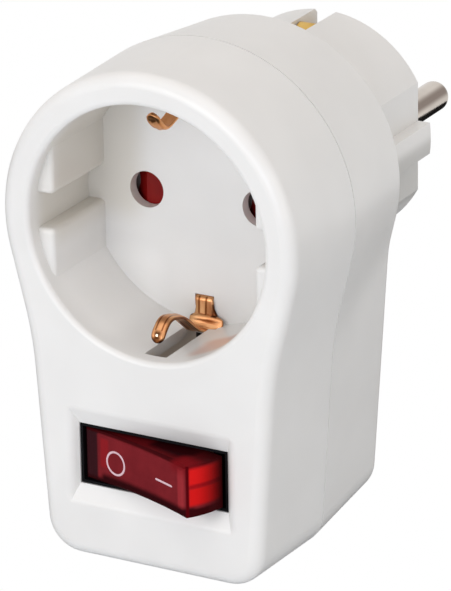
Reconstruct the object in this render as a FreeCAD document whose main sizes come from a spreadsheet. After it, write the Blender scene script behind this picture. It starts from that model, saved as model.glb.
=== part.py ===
import FreeCAD, Part
import math
import os

import Sketcher
from FreeCAD import Placement, Rotation, Vector

# Switched plug adapter: a socket with a rocker switch below it, on a two-pin plug.
# The origin is the middle of the plug's end face, between the pins. +Y points along the pins,
# away from the casing, +Z points up and +X is to the right of someone who faces the socket.
# A station is a distance ahead of the plug's end face, so a station of 10 lies at y = -10.

# Driving sizes, in millimetres and degrees
SIZES = {
    # Casing, front to back
    "casing_depth": 37.5,
    "seam_depth": 18.7,
    "plug_reach": 20.0,
    "casing_wall": 2.0,
    "front_wall": 2.6,
    "rear_wall": 2.0,
    "front_edge_radius": 2.1,
    "rear_edge_radius": 1.7,
    # Casing outline at the front, at the seam and at the rear
    "rim_width": 4.7,
    "top_flare": 0.5,
    "rear_top_draft": 1.9,
    "waist_inset": 6.45,
    "side_flare": 0.8,
    "rear_side_draft": 0.35,
    "base_below_switch": 16.3,
    "rear_base_draft": 2.0,
    "shoulder_angle": 14.0,
    "side_angle": 4.0,
    "front_bend_radius": 55.0,
    "rear_bend_radius": 20.0,
    "base_corner_radius": 5.7,
    # Seam joint
    "tongue_length": 1.2,
    "tongue_thickness": 0.8,
    "tongue_step": 0.05,
    "seam_clearance": 0.15,
    "seam_chamfer": 0.18,
    # Socket well
    "well_radius": 19.6,
    "well_depth": 17.5,
    "well_wall": 1.8,
    "well_floor": 1.8,
    "well_lip_radius": 0.9,
    "lug_depth": 2.85,
    "lug_setback": 2.5,
    "guide_play": 0.2,
    "lug_edge_radius": 0.8,
    "pin_hole_radius": 2.85,
    "pin_spacing": 19.0,
    "spring_slot_half_width": 1.85,
    "spring_slot_setback": 2.6,
    "root_room_length": 2.2,
    # Switch window
    "switch_drop": 36.8,
    "window_half_width": 12.57,
    "window_half_height": 4.87,
    "window_setback": 1.28,
    "recess_half_width": 13.65,
    "recess_half_height": 7.6,
    "recess_edge_radius": 2.0,
    # Casing screws and their posts
    "screw_radius": 1.45,
    "screw_head_radius": 2.8,
    "screw_head_height": 2.0,
    "screw_grip": 9.0,
    "post_radius": 3.0,
    "tube_radius": 4.2,
    "tube_seat": 8.0,
    "screw_clearance": 0.15,
    "head_clearance": 0.4,
    "upper_post_inset": 3.45,
    "upper_post_gap": 0.3,
    "lower_post_inset": 4.95,
    "lower_post_gap": 1.0,
    # Plug body and pins
    "plug_radius": 18.0,
    "plug_flat_depth": 2.2,
    "plug_rib_half_width": 2.5,
    "plug_bevel": 0.7,
    "plug_wall": 2.2,
    "plug_end_wall": 4.0,
    "notch_half_width": 1.8,
    "notch_depth": 3.8,
    "notch_length": 15.0,
    "pin_radius": 2.4,
    "pin_length": 19.0,
    "pin_tip_radius": 1.7,
    "pin_shank_radius": 2.6,
    "pin_boss_radius": 4.4,
    "pin_boss_length": 7.5,
    "pin_collar_radius": 3.6,
    "pin_collar_length": 1.2,
    "pin_rivet_radius": 1.3,
    "pin_rivet_length": 1.6,
    "pin_clearance": 0.03,
    # Contact carrier
    "carrier_setback": 3.7,
    "carrier_plate": 1.5,
    "carrier_overhang": 0.6,
    "carrier_half_height": 13.4,
    "chamber_half_width": 3.2,
    "chamber_half_height": 4.5,
    "chamber_wall": 1.4,
    "chamber_length": 9.6,
    "carrier_leg_radius": 1.6,
    "carrier_leg_x": 13.4,
    "carrier_leg_z": 10.6,
    # Socket contacts
    "contact_half_width": 2.5,
    "contact_sheet": 0.6,
    "contact_half_gap": 3.4,
    "contact_waist": 2.2,
    "contact_length": 12.6,
    "contact_gap_ahead": 1.2,
    "contact_mouth_flare": 0.3,
    "tab_offset": 1.0,
    "tab_setback": 1.0,
    "tab_width": 3.0,
    "tab_length": 5.4,
    "feed_x": 5.0,
    "feed_arm_half_width": 1.4,
    "feed_drop": 8.0,
    "link_sheet": 0.8,
    "link_half_width": 2.0,
    "link_rise": 5.2,
    # Shutter
    "shutter_thickness": 2.5,
    "shutter_half_height": 4.6,
    "shutter_travel": 6.0,
    "shutter_clearance": 0.2,
    "shutter_window_radius": 3.0,
    "shutter_ramp": 1.1,
    "rail_height": 1.4,
    "spring_chamber_height": 3.0,
    "shutter_lug_left": 7.3,
    "shutter_lug_width": 2.0,
    "spring_stop_x": 9.5,
    "spring_radius": 1.1,
    "spring_wire_radius": 0.16,
    # Socket earth strap
    "strap_sheet": 0.6,
    "strap_inset": 4.0,
    "strap_half_width": 2.9,
    "strap_tongue_half_width": 1.45,
    "clip_half_width": 1.15,
    "clip_root_inset": 0.7,
    "clip_low_outset": 0.5,
    "clip_low_reach": 2.3,
    "clip_knee_inset": 4.0,
    "clip_knee_depth": 9.3,
    "clip_hump_inset": 4.8,
    "clip_hump_depth": 5.6,
    "clip_tip_inset": 1.4,
    "clip_tip_depth": 3.0,
    "clip_tip_rounding": 0.9,
    "clip_bend_radius": 1.1,
    "slot_clearance": 0.15,
    # Plug earth strap and the post between the straps
    "earth_sheet": 0.8,
    "earth_half_width": 1.6,
    "earth_gap": 0.3,
    "earth_bow": 2.2,
    "earth_bow_reach": 6.0,
    "earth_back_gap": 3.8,
    "earth_heel": 3.0,
    "earth_end_gap": 1.2,
    "earth_post_radius": 2.0,
    # Switch housing
    "switch_half_width": 13.3,
    "switch_half_height": 5.9,
    "switch_back_depth": 17.0,
    "switch_back_wall": 1.6,
    "switch_seat_depth": 2.0,
    "switch_neck_setback": 0.12,
    "switch_neck_clearance": 0.12,
    "switch_neck_wall": 0.4,
    "pillar_width": 1.6,
    "pillar_height": 6.0,
    "seat_clearance": 0.15,
    # Rocker
    "pivot_setback": 1.6,
    "rocker_tilt": 18.0,
    "rocker_tip_x": 10.65,
    "rocker_tip_rise": 4.95,
    "rocker_hollow": 0.75,
    "rocker_half_height": 4.05,
    "rocker_wall": 1.2,
    "rocker_skirt": 2.0,
    "rocker_pin_radius": 0.7,
    "rocker_pin_length": 1.2,
    "rocker_pin_clearance": 0.05,
    "rocker_edge": 0.45,
    "rocker_boss_radius": 1.7,
    # Plunger, lever and terminals
    "plunger_radius": 1.0,
    "plunger_reach": 7.95,
    "plunger_seat": 0.6,
    "plunger_spring_length": 1.6,
    "plunger_clearance": 0.06,
    "lever_pivot_depth": 12.4,
    "lever_half_width": 2.0,
    "lever_sheet": 0.6,
    "lever_contact_x": 8.2,
    "lever_right_arm": 4.2,
    "lever_slope": 15.0,
    "lever_tilt": 6.0,
    "button_radius": 1.2,
    "button_height": 0.6,
    "terminal_sheet": 0.8,
    "terminal_half_width": 2.3,
    "terminal_reach": 6.0,
    "terminal_x": 8.5,
    "load_contact_depth": 12.1,
    "lamp_terminal_depth": 14.8,
    "lamp_radius": 1.9,
    "lamp_length": 6.4,
    "lamp_x": 7.9,
    "lamp_depth": 12.4,
    "lead_radius": 0.25,
    "lead_rise": 0.65,
    "resistor_radius": 0.8,
    "resistor_length": 4.6,
    "resistor_x": 11.0,
    # Wires
    "wire_radius": 1.1,
    "wire_bend_radius": 1.8,
    "wire_rear_gap": 2.4,
    "wire_lead_in": 1.0,
}

doc = FreeCAD.newDocument("switched_plug_adapter")
sheet = doc.addObject("Spreadsheet::Sheet", "Sizes")
for row, (alias, number) in enumerate(SIZES.items(), start=1):
    sheet.set(f"A{row}", alias)
    sheet.set(f"B{row}", str(number))
    sheet.setAlias(f"B{row}", alias)
doc.recompute()


class Size:
    """A length with the expression that binds it to the sheet."""

    def __init__(self, value, text):
        self.value = float(value)
        self.text = text

    def __add__(self, other):
        other = as_size(other)
        return Size(self.value + other.value, f"({self.text} + {other.text})")

    def __sub__(self, other):
        other = as_size(other)
        return Size(self.value - other.value, f"({self.text} - {other.text})")

    def __mul__(self, other):
        other = as_size(other)
        return Size(self.value * other.value, f"({self.text} * {other.text})")

    def __truediv__(self, other):
        other = as_size(other)
        return Size(self.value / other.value, f"({self.text} / {other.text})")

    def __neg__(self):
        return Size(-self.value, f"(0 - {self.text})")

    def __radd__(self, other):
        return as_size(other) + self

    def __rsub__(self, other):
        return as_size(other) - self

    def __rmul__(self, other):
        return as_size(other) * self

    def __float__(self):
        return self.value


def as_size(number):
    return number if isinstance(number, Size) else Size(number, repr(float(number)))


def sin(angle):
    return Size(math.sin(math.radians(angle.value)), f"sin({angle.text})")


def cos(angle):
    return Size(math.cos(math.radians(angle.value)), f"cos({angle.text})")


def tan(angle):
    return Size(math.tan(math.radians(angle.value)), f"tan({angle.text})")


def root(number):
    return Size(math.sqrt(number.value), f"sqrt({number.text})")


# The sheet's sizes by name
S = {alias: Size(float(sheet.get(alias)), f"Sizes.{alias}") for alias in SIZES}

# Stations that several pieces share, each a distance ahead of the plug's end face
FRONT = S["casing_depth"] + S["plug_reach"]
SEAM = FRONT - S["seam_depth"]
REAR = S["plug_reach"]
REAR_INSIDE = REAR + S["rear_wall"]
FLOOR = FRONT - S["well_depth"]
FLOOR_BACK = FLOOR - S["well_floor"]
CARRIER = FLOOR_BACK - S["carrier_setback"]
CARRIER_BACK = CARRIER - S["carrier_plate"]
WINDOW = FRONT - S["window_setback"]
SWITCH_SEAT = FRONT - S["switch_seat_depth"]
SWITCH_BACK = FRONT - S["switch_back_depth"]
PIVOT = WINDOW - S["pivot_setback"]
CONTACT_BACK = CARRIER_BACK - S["contact_gap_ahead"] - S["contact_length"]
COLLAR = S["plug_end_wall"] + S["pin_boss_length"] + S["pin_collar_length"]
LEVER = FRONT - S["lever_pivot_depth"]
EARTH_BACK = COLLAR + S["earth_back_gap"]
WIRE = REAR_INSIDE + S["wire_radius"] + S["wire_rear_gap"]

# Distances from the middle that several pieces share
PIN_X = S["pin_spacing"] / 2
PLUG_FLAT = S["plug_radius"] - S["plug_flat_depth"]
CARRIER_RADIUS = S["well_radius"] + S["carrier_overhang"]
STRAP_RISE = S["well_radius"] - S["strap_inset"]
CLIP_ROOT = S["well_radius"] - S["clip_root_inset"]
CLIP_LOW = S["well_radius"] + S["clip_low_outset"]
EARTH_RISE = S["plug_radius"] - S["notch_depth"] + S["earth_gap"] + S["earth_sheet"] / 2
TAB_END = S["contact_half_gap"] + S["tab_length"]


# Helpers for bodies, sketches and features

def new_body(name):
    body = doc.addObject("PartDesign::Body", name)
    body.Label = name
    return body


def sketch(body, role, offset=None):
    """An empty sketch on one of the body's own origin planes, moved along the plane's normal."""
    support = next(item for item in body.Origin.OriginFeatures if item.Role == role)
    made = body.newObject("Sketcher::SketchObject", body.Name + "_sketch")
    made.AttachmentSupport = [(support, "")]
    made.MapMode = "FlatFace"
    if offset is not None:
        made.setExpression("AttachmentOffset.Base.z", offset.text)
    return made


def facing(body, station):
    """A sketch seen from the front: its x is X, its y is Z, and its normal points forward."""
    return sketch(body, "XZ_Plane", as_size(station))


def bind(made, kind, places, size):
    """A dimension on a sketch, bound to its expression; a plain zero lies on the axis instead."""
    size = as_size(size)
    index = made.addConstraint(Sketcher.Constraint(kind, *places, size.value))
    if "Sizes." in size.text:
        made.setExpression(f"Constraints[{index}]", size.text)


def place_point(made, geometry, end, x, z):
    for kind, size, axis in (("DistanceX", as_size(x), -2), ("DistanceY", as_size(z), -1)):
        if size.text in ("0.0", "-0.0"):
            made.addConstraint(Sketcher.Constraint("PointOnObject", geometry, end, axis))
        else:
            bind(made, kind, (-1, 1, geometry, end), size)


def circle(made, x, z, radius):
    radius = as_size(radius)
    middle = Vector(float(x), float(z), 0)
    index = made.addGeometry(Part.Circle(middle, Vector(0, 0, 1), radius.value), False)
    place_point(made, index, 3, x, z)
    bind(made, "Radius", (index,), radius)


def path(made, steps, closed=True):
    """A chain of lines and arcs. A step is (x, z) or (x, z, radius, "left" or "right" turn)."""
    first = None
    previous_geometry = None
    last = steps[-1] if closed else steps[0]
    rest = steps if closed else steps[1:]
    start = last
    for step in rest:
        ax, az = float(start[0]), float(start[1])
        bx, bz = float(step[0]), float(step[1])
        if len(step) == 2:
            line = Part.LineSegment(Vector(ax, az, 0), Vector(bx, bz, 0))
            index = made.addGeometry(line, False)
            ends = (1, 2)
        else:
            radius = as_size(step[2])
            side = 1 if step[3] == "left" else -1
            half = math.hypot(bx - ax, bz - az) / 2
            rise = math.sqrt(max(radius.value ** 2 - half ** 2, 0)) * side
            cx = (ax + bx) / 2 - rise * (bz - az) / (2 * half)
            cz = (az + bz) / 2 + rise * (bx - ax) / (2 * half)
            whole = Part.Circle(Vector(cx, cz, 0), Vector(0, 0, 1), radius.value)
            begin = math.atan2(az - cz, ax - cx)
            finish = math.atan2(bz - cz, bx - cx)
            if side < 0:
                begin, finish = finish, begin
            if finish < begin:
                finish += 2 * math.pi
            index = made.addGeometry(Part.ArcOfCircle(whole, begin, finish), False)
            ends = (1, 2) if side > 0 else (2, 1)
            bind(made, "Radius", (index,), radius)
        if previous_geometry is not None:
            link = Sketcher.Constraint("Coincident", *previous_geometry, index, ends[0])
            made.addConstraint(link)
        else:
            first = (index, ends[0])
            if not closed:
                place_point(made, index, ends[0], start[0], start[1])
        place_point(made, index, ends[1], step[0], step[1])
        previous_geometry = (index, ends[1])
        start = step
    if closed:
        made.addConstraint(Sketcher.Constraint("Coincident", *previous_geometry, *first))


def rectangle(made, x0, z0, x1, z1):
    path(made, [(x0, z0), (x1, z0), (x1, z1), (x0, z1)])


def add_feature(body, kind, profile, **settings):
    """A feature of a body; its sizes are bound, and it must change the body's volume."""
    before = body.Shape.Volume if body.Shape.Solids else 0.0
    made = body.newObject("PartDesign::" + kind, body.Name + "_" + kind.lower())
    if profile is not None:
        made.Profile = profile
    for name, setting in settings.items():
        if isinstance(setting, Size):
            setattr(made, name, setting.value)
            made.setExpression(name, setting.text)
        else:
            setattr(made, name, setting)
    doc.recompute()
    if not made.isValid() or abs(made.Shape.Volume - before) < 1e-6:
        raise RuntimeError(f"{body.Label}: {made.Name} failed or changed nothing")
    return made


def pad(body, profile, length, **settings):
    return add_feature(body, "Pad", profile, Length=as_size(length), **settings)


def pocket(body, profile, length, **settings):
    return add_feature(body, "Pocket", profile, Length=as_size(length), **settings)


def edges_of(feature, test):
    """The names of a feature's edges that pass a test."""
    return [f"Edge{i}" for i, edge in enumerate(feature.Shape.Edges, start=1) if test(edge)]


def round_edges(body, feature, radius, test, kind="Fillet"):
    names = edges_of(feature, test)
    if not names:
        raise RuntimeError(f"{body.Label}: no edge to round")
    key = "Radius" if kind == "Fillet" else "Size"
    return add_feature(body, kind, None, Base=(feature, names), **{key: as_size(radius)})


def at_station(edge, station, slack=0.01):
    """True for an edge that lies in the plane of one station."""
    box = edge.BoundBox
    return abs(box.YMin + float(station)) < slack and abs(box.YMax + float(station)) < slack


# Casing outline

def casing_outline(top_radius, half_width, drop, bend_radius, inset):
    """Half a teardrop and its mirror image: round top, shoulders, concave bends, sides, base."""
    radius = top_radius - inset
    lean, slope = S["side_angle"], S["shoulder_angle"]
    base = inset - drop
    side = half_width - inset * (1 - sin(lean)) / cos(lean)
    corner = S["base_corner_radius"] - inset
    bend = bend_radius + inset
    leave_x, leave_z = radius * cos(slope), -radius * sin(slope)
    across = (side - leave_x) * cos(lean) - (base - leave_z) * sin(lean)
    run = -across / sin(slope - lean)
    knee_x, knee_z = leave_x - run * sin(slope), leave_z - run * cos(slope)
    reach = bend * tan((slope - lean) / 2)
    foot = corner * tan((90 - lean) / 2)
    half = [
        (leave_x, leave_z, radius, "right"),
        (knee_x + reach * sin(slope), knee_z + reach * cos(slope)),
        (knee_x - reach * sin(lean), knee_z - reach * cos(lean), bend, "left"),
        (side + foot * sin(lean), base + foot * cos(lean)),
        (side - foot, base, corner, "right"),
    ]
    turns = [()] + [step[2:] for step in reversed(half)]
    back = [(-x, z) for x, z, *_ in reversed(half)] + [(0, radius)]
    return half + [place + turn for place, turn in zip(back, turns)]


def outline_sketch(body, station, section, inset=0):
    made = facing(body, station)
    path(made, casing_outline(*section, as_size(inset)))
    return made


# The sections follow from the front: the seam flares out from it, the rear draws in again
TOP_RADIUS = S["well_radius"] + S["rim_width"]
SEAM_TOP = TOP_RADIUS + S["top_flare"]
FRONT_HALF = TOP_RADIUS - S["waist_inset"]
SEAM_HALF = FRONT_HALF + S["side_flare"]
BASE_DROP = S["switch_drop"] + S["base_below_switch"]
FRONT_SECTION = (TOP_RADIUS, FRONT_HALF, BASE_DROP, S["front_bend_radius"])
SEAM_SECTION = (SEAM_TOP, SEAM_HALF, BASE_DROP, S["front_bend_radius"])
REAR_SECTION = (SEAM_TOP - S["rear_top_draft"], SEAM_HALF - S["rear_side_draft"],
                BASE_DROP - S["rear_base_draft"], S["rear_bend_radius"])

# The screw posts stand just above and just below the switch
POST_REACH = S["switch_half_height"] + S["post_radius"]
UPPER_POST_Z = POST_REACH + S["upper_post_gap"] - S["switch_drop"]
LOWER_POST_Z = -POST_REACH - S["lower_post_gap"] - S["switch_drop"]
POSTS = [(side * (FRONT_HALF - inset), z)
         for inset, z in ((S["upper_post_inset"], UPPER_POST_Z),
                          (S["lower_post_inset"], LOWER_POST_Z))
         for side in (1, -1)]


def front_casing():
    body = new_body("front_casing")

    # Outer shell, drawn in towards the front, with a rounded front edge
    outer = outline_sketch(body, SEAM, SEAM_SECTION)
    shell = add_feature(body, "AdditiveLoft", outer, Ruled=True,
                        Sections=[outline_sketch(body, FRONT, FRONT_SECTION)])
    rounded = round_edges(body, shell, S["front_edge_radius"],
                          lambda edge: at_station(edge, FRONT))
    round_edges(body, rounded, S["seam_chamfer"], lambda edge: at_station(edge, SEAM), "Chamfer")

    # Hollow behind the front wall
    inside = outline_sketch(body, SEAM, SEAM_SECTION, S["casing_wall"])
    behind = outline_sketch(body, FRONT - S["front_wall"], FRONT_SECTION, S["casing_wall"])
    add_feature(body, "SubtractiveLoft", inside, Ruled=True, Sections=[behind])
    # Cup of the socket well
    cup = facing(body, FLOOR_BACK)
    circle(cup, 0, 0, S["well_radius"] + S["well_wall"])
    pad(body, cup, S["well_depth"] + S["well_floor"] - S["front_wall"] / 2)

    # Rebate that takes the rear casing's tongue
    rebate = outline_sketch(body, SEAM, SEAM_SECTION,
                            S["casing_wall"] - S["tongue_thickness"] - S["seam_clearance"])
    path(rebate, casing_outline(*SEAM_SECTION, S["casing_wall"] + S["seam_clearance"]))
    pocket(body, rebate, S["tongue_length"] + S["seam_clearance"], Reversed=True)

    # Well with its rounded lip
    well = facing(body, FRONT)
    circle(well, 0, 0, S["well_radius"])
    hollow = pocket(body, well, S["well_depth"])
    round_edges(body, hollow, S["well_lip_radius"],
                lambda edge: at_station(edge, FRONT) and abs(edge.Length / 2 / math.pi
                                                             - S["well_radius"].value) < 0.01)

    # Four side lugs: segments of the well beyond the flats, split by the guide grooves
    lugs = facing(body, FLOOR)
    embed = S["well_radius"] + S["well_wall"] / 3
    guide, flat = S["plug_rib_half_width"] + S["guide_play"], S["well_radius"] - S["lug_depth"]
    low = root(embed * embed - guide * guide)
    high = root(embed * embed - flat * flat)
    path(lugs, [(flat, guide), (low, guide), (flat, high, embed, "left")])
    path(lugs, [(-flat, guide), (-low, guide), (-flat, high, embed, "right")])
    path(lugs, [(flat, -guide), (low, -guide), (flat, -high, embed, "right")])
    path(lugs, [(-flat, -guide), (-low, -guide), (-flat, -high, embed, "left")])
    blocks = pad(body, lugs, S["well_depth"] - S["lug_setback"])
    lug_front = FRONT - S["lug_setback"]

    def on_lug(edge):
        """The edges of a lug that a visiting plug could catch on."""
        x, z = abs(edge.CenterOfMass.x), abs(edge.CenterOfMass.z)
        on_flat = abs(x - flat.value) < 0.01 and at_station(edge, lug_front)
        beside_guide = abs(z - guide.value) < 0.01 and flat.value - 0.01 < x < float(low) - 1
        return (on_flat or beside_guide) and not at_station(edge, FLOOR)

    round_edges(body, blocks, S["lug_edge_radius"], on_lug)

    # Slots through the wall of the well, top and bottom, into which the earth clips can
    # spring, each with a wider room at the floor for the clip's root
    near = S["well_radius"] - S["well_wall"]
    far = S["well_radius"] + S["well_wall"] + S["slot_clearance"]
    for half, length in (
        (S["spring_slot_half_width"], S["well_depth"] - S["spring_slot_setback"]),
        (S["strap_half_width"] + S["slot_clearance"], S["root_room_length"]),
    ):
        slots = facing(body, FLOOR + length)
        rectangle(slots, -half, near, half, far)
        rectangle(slots, -half, -far, half, -near)
        pocket(body, slots, length)

    # Pin holes and the slots for the earth strap, through the floor of the well
    holes = facing(body, FLOOR)
    circle(holes, PIN_X, 0, S["pin_hole_radius"])
    circle(holes, -PIN_X, 0, S["pin_hole_radius"])
    slot_half = S["strap_tongue_half_width"] + S["slot_clearance"]
    slot_low = STRAP_RISE - S["strap_sheet"] / 2 - S["slot_clearance"]
    slot_high = STRAP_RISE + S["clip_bend_radius"] + S["slot_clearance"]
    rectangle(holes, -slot_half, slot_low, slot_half, slot_high)
    rectangle(holes, -slot_half, -slot_high, slot_half, -slot_low)
    pocket(body, holes, S["well_floor"])

    # Switch window: bevelled recess, opening, and the seat of the switch behind it
    middle = -S["switch_drop"]
    recess = facing(body, FRONT)
    wide, tall = S["recess_half_width"], S["recess_half_height"]
    rectangle(recess, -wide, middle - tall, wide, middle + tall)
    window = facing(body, WINDOW)
    wide, tall = S["window_half_width"], S["window_half_height"]
    rectangle(window, -wide, middle - tall, wide, middle + tall)
    bevelled = add_feature(body, "SubtractiveLoft", recess, Ruled=True, Sections=[window])

    def on_recess(edge):
        """The four edges in which the recess meets the front face."""
        return at_station(edge, FRONT) and abs(float(edge.CenterOfMass.z - middle.value)) < \
            S["recess_half_height"].value + 0.01

    round_edges(body, bevelled, S["recess_edge_radius"], on_recess)
    opening = facing(body, WINDOW)
    rectangle(opening, -wide, middle - tall, wide, middle + tall)
    pocket(body, opening, S["front_wall"] - S["window_setback"])
    seat = facing(body, SWITCH_SEAT)
    wide = S["switch_half_width"] + S["seat_clearance"]
    tall = S["switch_half_height"] + S["seat_clearance"]
    rectangle(seat, -wide, middle - tall, wide, middle + tall)
    pocket(body, seat, S["front_wall"] - S["switch_seat_depth"])

    # Screw posts with blind pilot holes
    posts = facing(body, SEAM)
    for x, z in POSTS:
        circle(posts, x, z, S["post_radius"])
    pad(body, posts, S["seam_depth"] - S["front_wall"] / 2)
    pilots = facing(body, SEAM)
    for x, z in POSTS:
        circle(pilots, x, z, S["screw_radius"])
    pocket(body, pilots, S["screw_grip"] + S["front_wall"] / 2, Reversed=True)
    return body


def rear_casing():
    body = new_body("rear_casing")

    # Outer shell, drawn in towards the rear
    outer = outline_sketch(body, REAR, REAR_SECTION)
    shell = add_feature(body, "AdditiveLoft", outer, Ruled=True,
                        Sections=[outline_sketch(body, SEAM, SEAM_SECTION)])
    round_edges(body, shell, S["rear_edge_radius"], lambda edge: at_station(edge, REAR))

    # Hollow of the shell
    inside = outline_sketch(body, REAR_INSIDE, REAR_SECTION, S["casing_wall"])
    add_feature(body, "SubtractiveLoft", inside, Ruled=True,
                Sections=[outline_sketch(body, SEAM, SEAM_SECTION, S["casing_wall"])])

    # Plug body: a drum with flats at its sides, split by a guide rib, and a bevelled end edge
    drum = facing(body, 0)
    radius, flat, rib = S["plug_radius"], PLUG_FLAT, S["plug_rib_half_width"]
    high, out = root(radius * radius - flat * flat), root(radius * radius - rib * rib)
    path(drum, [
        (flat, high),
        (-flat, high, radius, "left"),
        (-flat, rib),
        (-out, rib),
        (-out, -rib, radius, "left"),
        (-flat, -rib),
        (-flat, -high),
        (flat, -high, radius, "left"),
        (flat, -rib),
        (out, -rib),
        (out, rib, radius, "left"),
        (flat, rib),
    ])
    plug = pad(body, drum, S["plug_reach"] + S["rear_wall"] / 2)
    round_edges(body, plug, S["plug_bevel"], lambda edge: at_station(edge, 0), "Chamfer")

    # Hollow of the plug body, open to the hollow of the shell
    core = facing(body, REAR_INSIDE)
    radius = S["plug_radius"] - S["plug_wall"]
    side_x = PLUG_FLAT - S["plug_wall"]
    side_z = root(radius * radius - side_x * side_x)
    path(core, [
        (side_x, side_z),
        (0, radius, radius, "left"),
        (-side_x, side_z, radius, "left"),
        (-side_x, -side_z),
        (0, -radius, radius, "left"),
        (side_x, -side_z, radius, "left"),
    ])
    pocket(body, core, REAR_INSIDE - S["plug_end_wall"])

    # Tongue that enters the front casing's rebate
    tongue = facing(body, SEAM)
    outer_gap = S["casing_wall"] - S["tongue_thickness"]
    path(tongue, casing_outline(*SEAM_SECTION, outer_gap))
    path(tongue, casing_outline(*SEAM_SECTION, S["casing_wall"] - S["tongue_step"]))
    pad(body, tongue, S["tongue_length"])

    # Pin bosses inside the plug, with their holes
    bosses = facing(body, S["plug_end_wall"])
    for side in (1, -1):
        circle(bosses, side * PIN_X, 0, S["pin_boss_radius"])
    pad(body, bosses, S["pin_boss_length"])
    bores = facing(body, 0)
    for side in (1, -1):
        circle(bores, side * PIN_X, 0, S["pin_shank_radius"] + S["pin_clearance"])
    pocket(body, bores, S["plug_end_wall"] + S["pin_boss_length"], Reversed=True)

    # Earth notches at the top and bottom of the plug
    notches = facing(body, 0)
    half, low = S["notch_half_width"], S["plug_radius"] - S["notch_depth"]
    rectangle(notches, -half, low, half, low + S["notch_depth"] * 2)
    rectangle(notches, -half, -low - S["notch_depth"] * 2, half, -low)
    pocket(body, notches, S["notch_length"], Reversed=True)

    # Screw tubes, their clearance holes and head wells
    tubes = facing(body, SEAM)
    for x, z in POSTS:
        circle(tubes, x, z, S["tube_radius"])
    pad(body, tubes, SEAM - REAR_INSIDE + S["rear_wall"] / 2, Reversed=True)
    holes = facing(body, SEAM)
    for x, z in POSTS:
        circle(holes, x, z, S["screw_radius"] + S["screw_clearance"])
    pocket(body, holes, S["tube_seat"])
    wells = facing(body, SEAM - S["tube_seat"])
    for x, z in POSTS:
        circle(wells, x, z, S["screw_head_radius"] + S["head_clearance"])
    pocket(body, wells, SEAM - S["tube_seat"] - REAR)

    # Pillars that hold the switch against its seat
    pillars = facing(body, SWITCH_BACK)
    edge, half = S["switch_half_width"], S["pillar_height"] / 2
    for side in (1, -1):
        rectangle(pillars, side * (edge - S["pillar_width"]), -S["switch_drop"] - half,
                  side * edge, -S["switch_drop"] + half)
    pad(body, pillars, SWITCH_BACK - REAR_INSIDE + S["rear_wall"] / 2, Reversed=True)
    return body


def casing_screws():
    """Four pan-head screws, put in from the rear, as one group."""
    seat = SEAM - S["tube_seat"]
    pieces = []
    for number, (x, z) in enumerate(POSTS, start=1):
        shank = doc.addObject("Part::Cylinder", f"screw_shank_{number}")
        head = doc.addObject("Part::Cylinder", f"screw_head_{number}")
        recess = doc.addObject("Part::Prism", f"screw_recess_{number}")
        for piece, station in ((shank, seat), (head, seat - S["screw_head_height"]),
                               (recess, seat - S["screw_head_height"])):
            piece.Placement = Placement(Vector(), Rotation(Vector(1, 0, 0), 90))
            piece.setExpression("Placement.Base.x", as_size(x).text)
            piece.setExpression("Placement.Base.y", (-station).text)
            piece.setExpression("Placement.Base.z", as_size(z).text)
        shank.setExpression("Radius", (S["screw_radius"] - 0.02).text)
        shank.setExpression("Height", (S["tube_seat"] + S["screw_grip"]).text)
        head.setExpression("Radius", S["screw_head_radius"].text)
        head.setExpression("Height", S["screw_head_height"].text)
        recess.Polygon = 6
        recess.setExpression("Circumradius", (S["screw_head_radius"] / 2).text)
        recess.setExpression("Height", (S["screw_head_height"] / 2).text)
        whole = doc.addObject("Part::Fuse", f"screw_blank_{number}")
        whole.Base, whole.Tool = shank, head
        screw = doc.addObject("Part::Cut", f"screw_{number}")
        screw.Base, screw.Tool = whole, recess
        pieces.append(screw)
    group = doc.addObject("Part::Compound", "casing_screws")
    group.Links = pieces
    return group


def plug_pin(name, side):
    """A turned pin: rounded tip, shank through the plug, collar, and a rivet end inside."""
    body = new_body(name)
    half = sketch(body, "XY_Plane")
    tip, radius, shank = S["pin_tip_radius"], S["pin_radius"], S["pin_shank_radius"]
    collar = -(S["plug_end_wall"] + S["pin_boss_length"])
    neck = collar - S["pin_collar_length"]
    end = neck - S["pin_rivet_length"]
    path(half, [
        (0, end),
        (S["pin_rivet_radius"], end),
        (S["pin_rivet_radius"], neck),
        (S["pin_collar_radius"], neck),
        (S["pin_collar_radius"], collar),
        (shank, collar),
        (shank, 0),
        (radius, 0),
        (radius, S["pin_length"] - tip),
        (radius - tip, S["pin_length"], tip, "left"),
        (0, S["pin_length"]),
    ])
    add_feature(body, "Revolution", half, ReferenceAxis=(half, ["V_Axis"]), Angle=360.0)
    body.setExpression("Placement.Base.x", (side * PIN_X).text)
    return body


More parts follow.
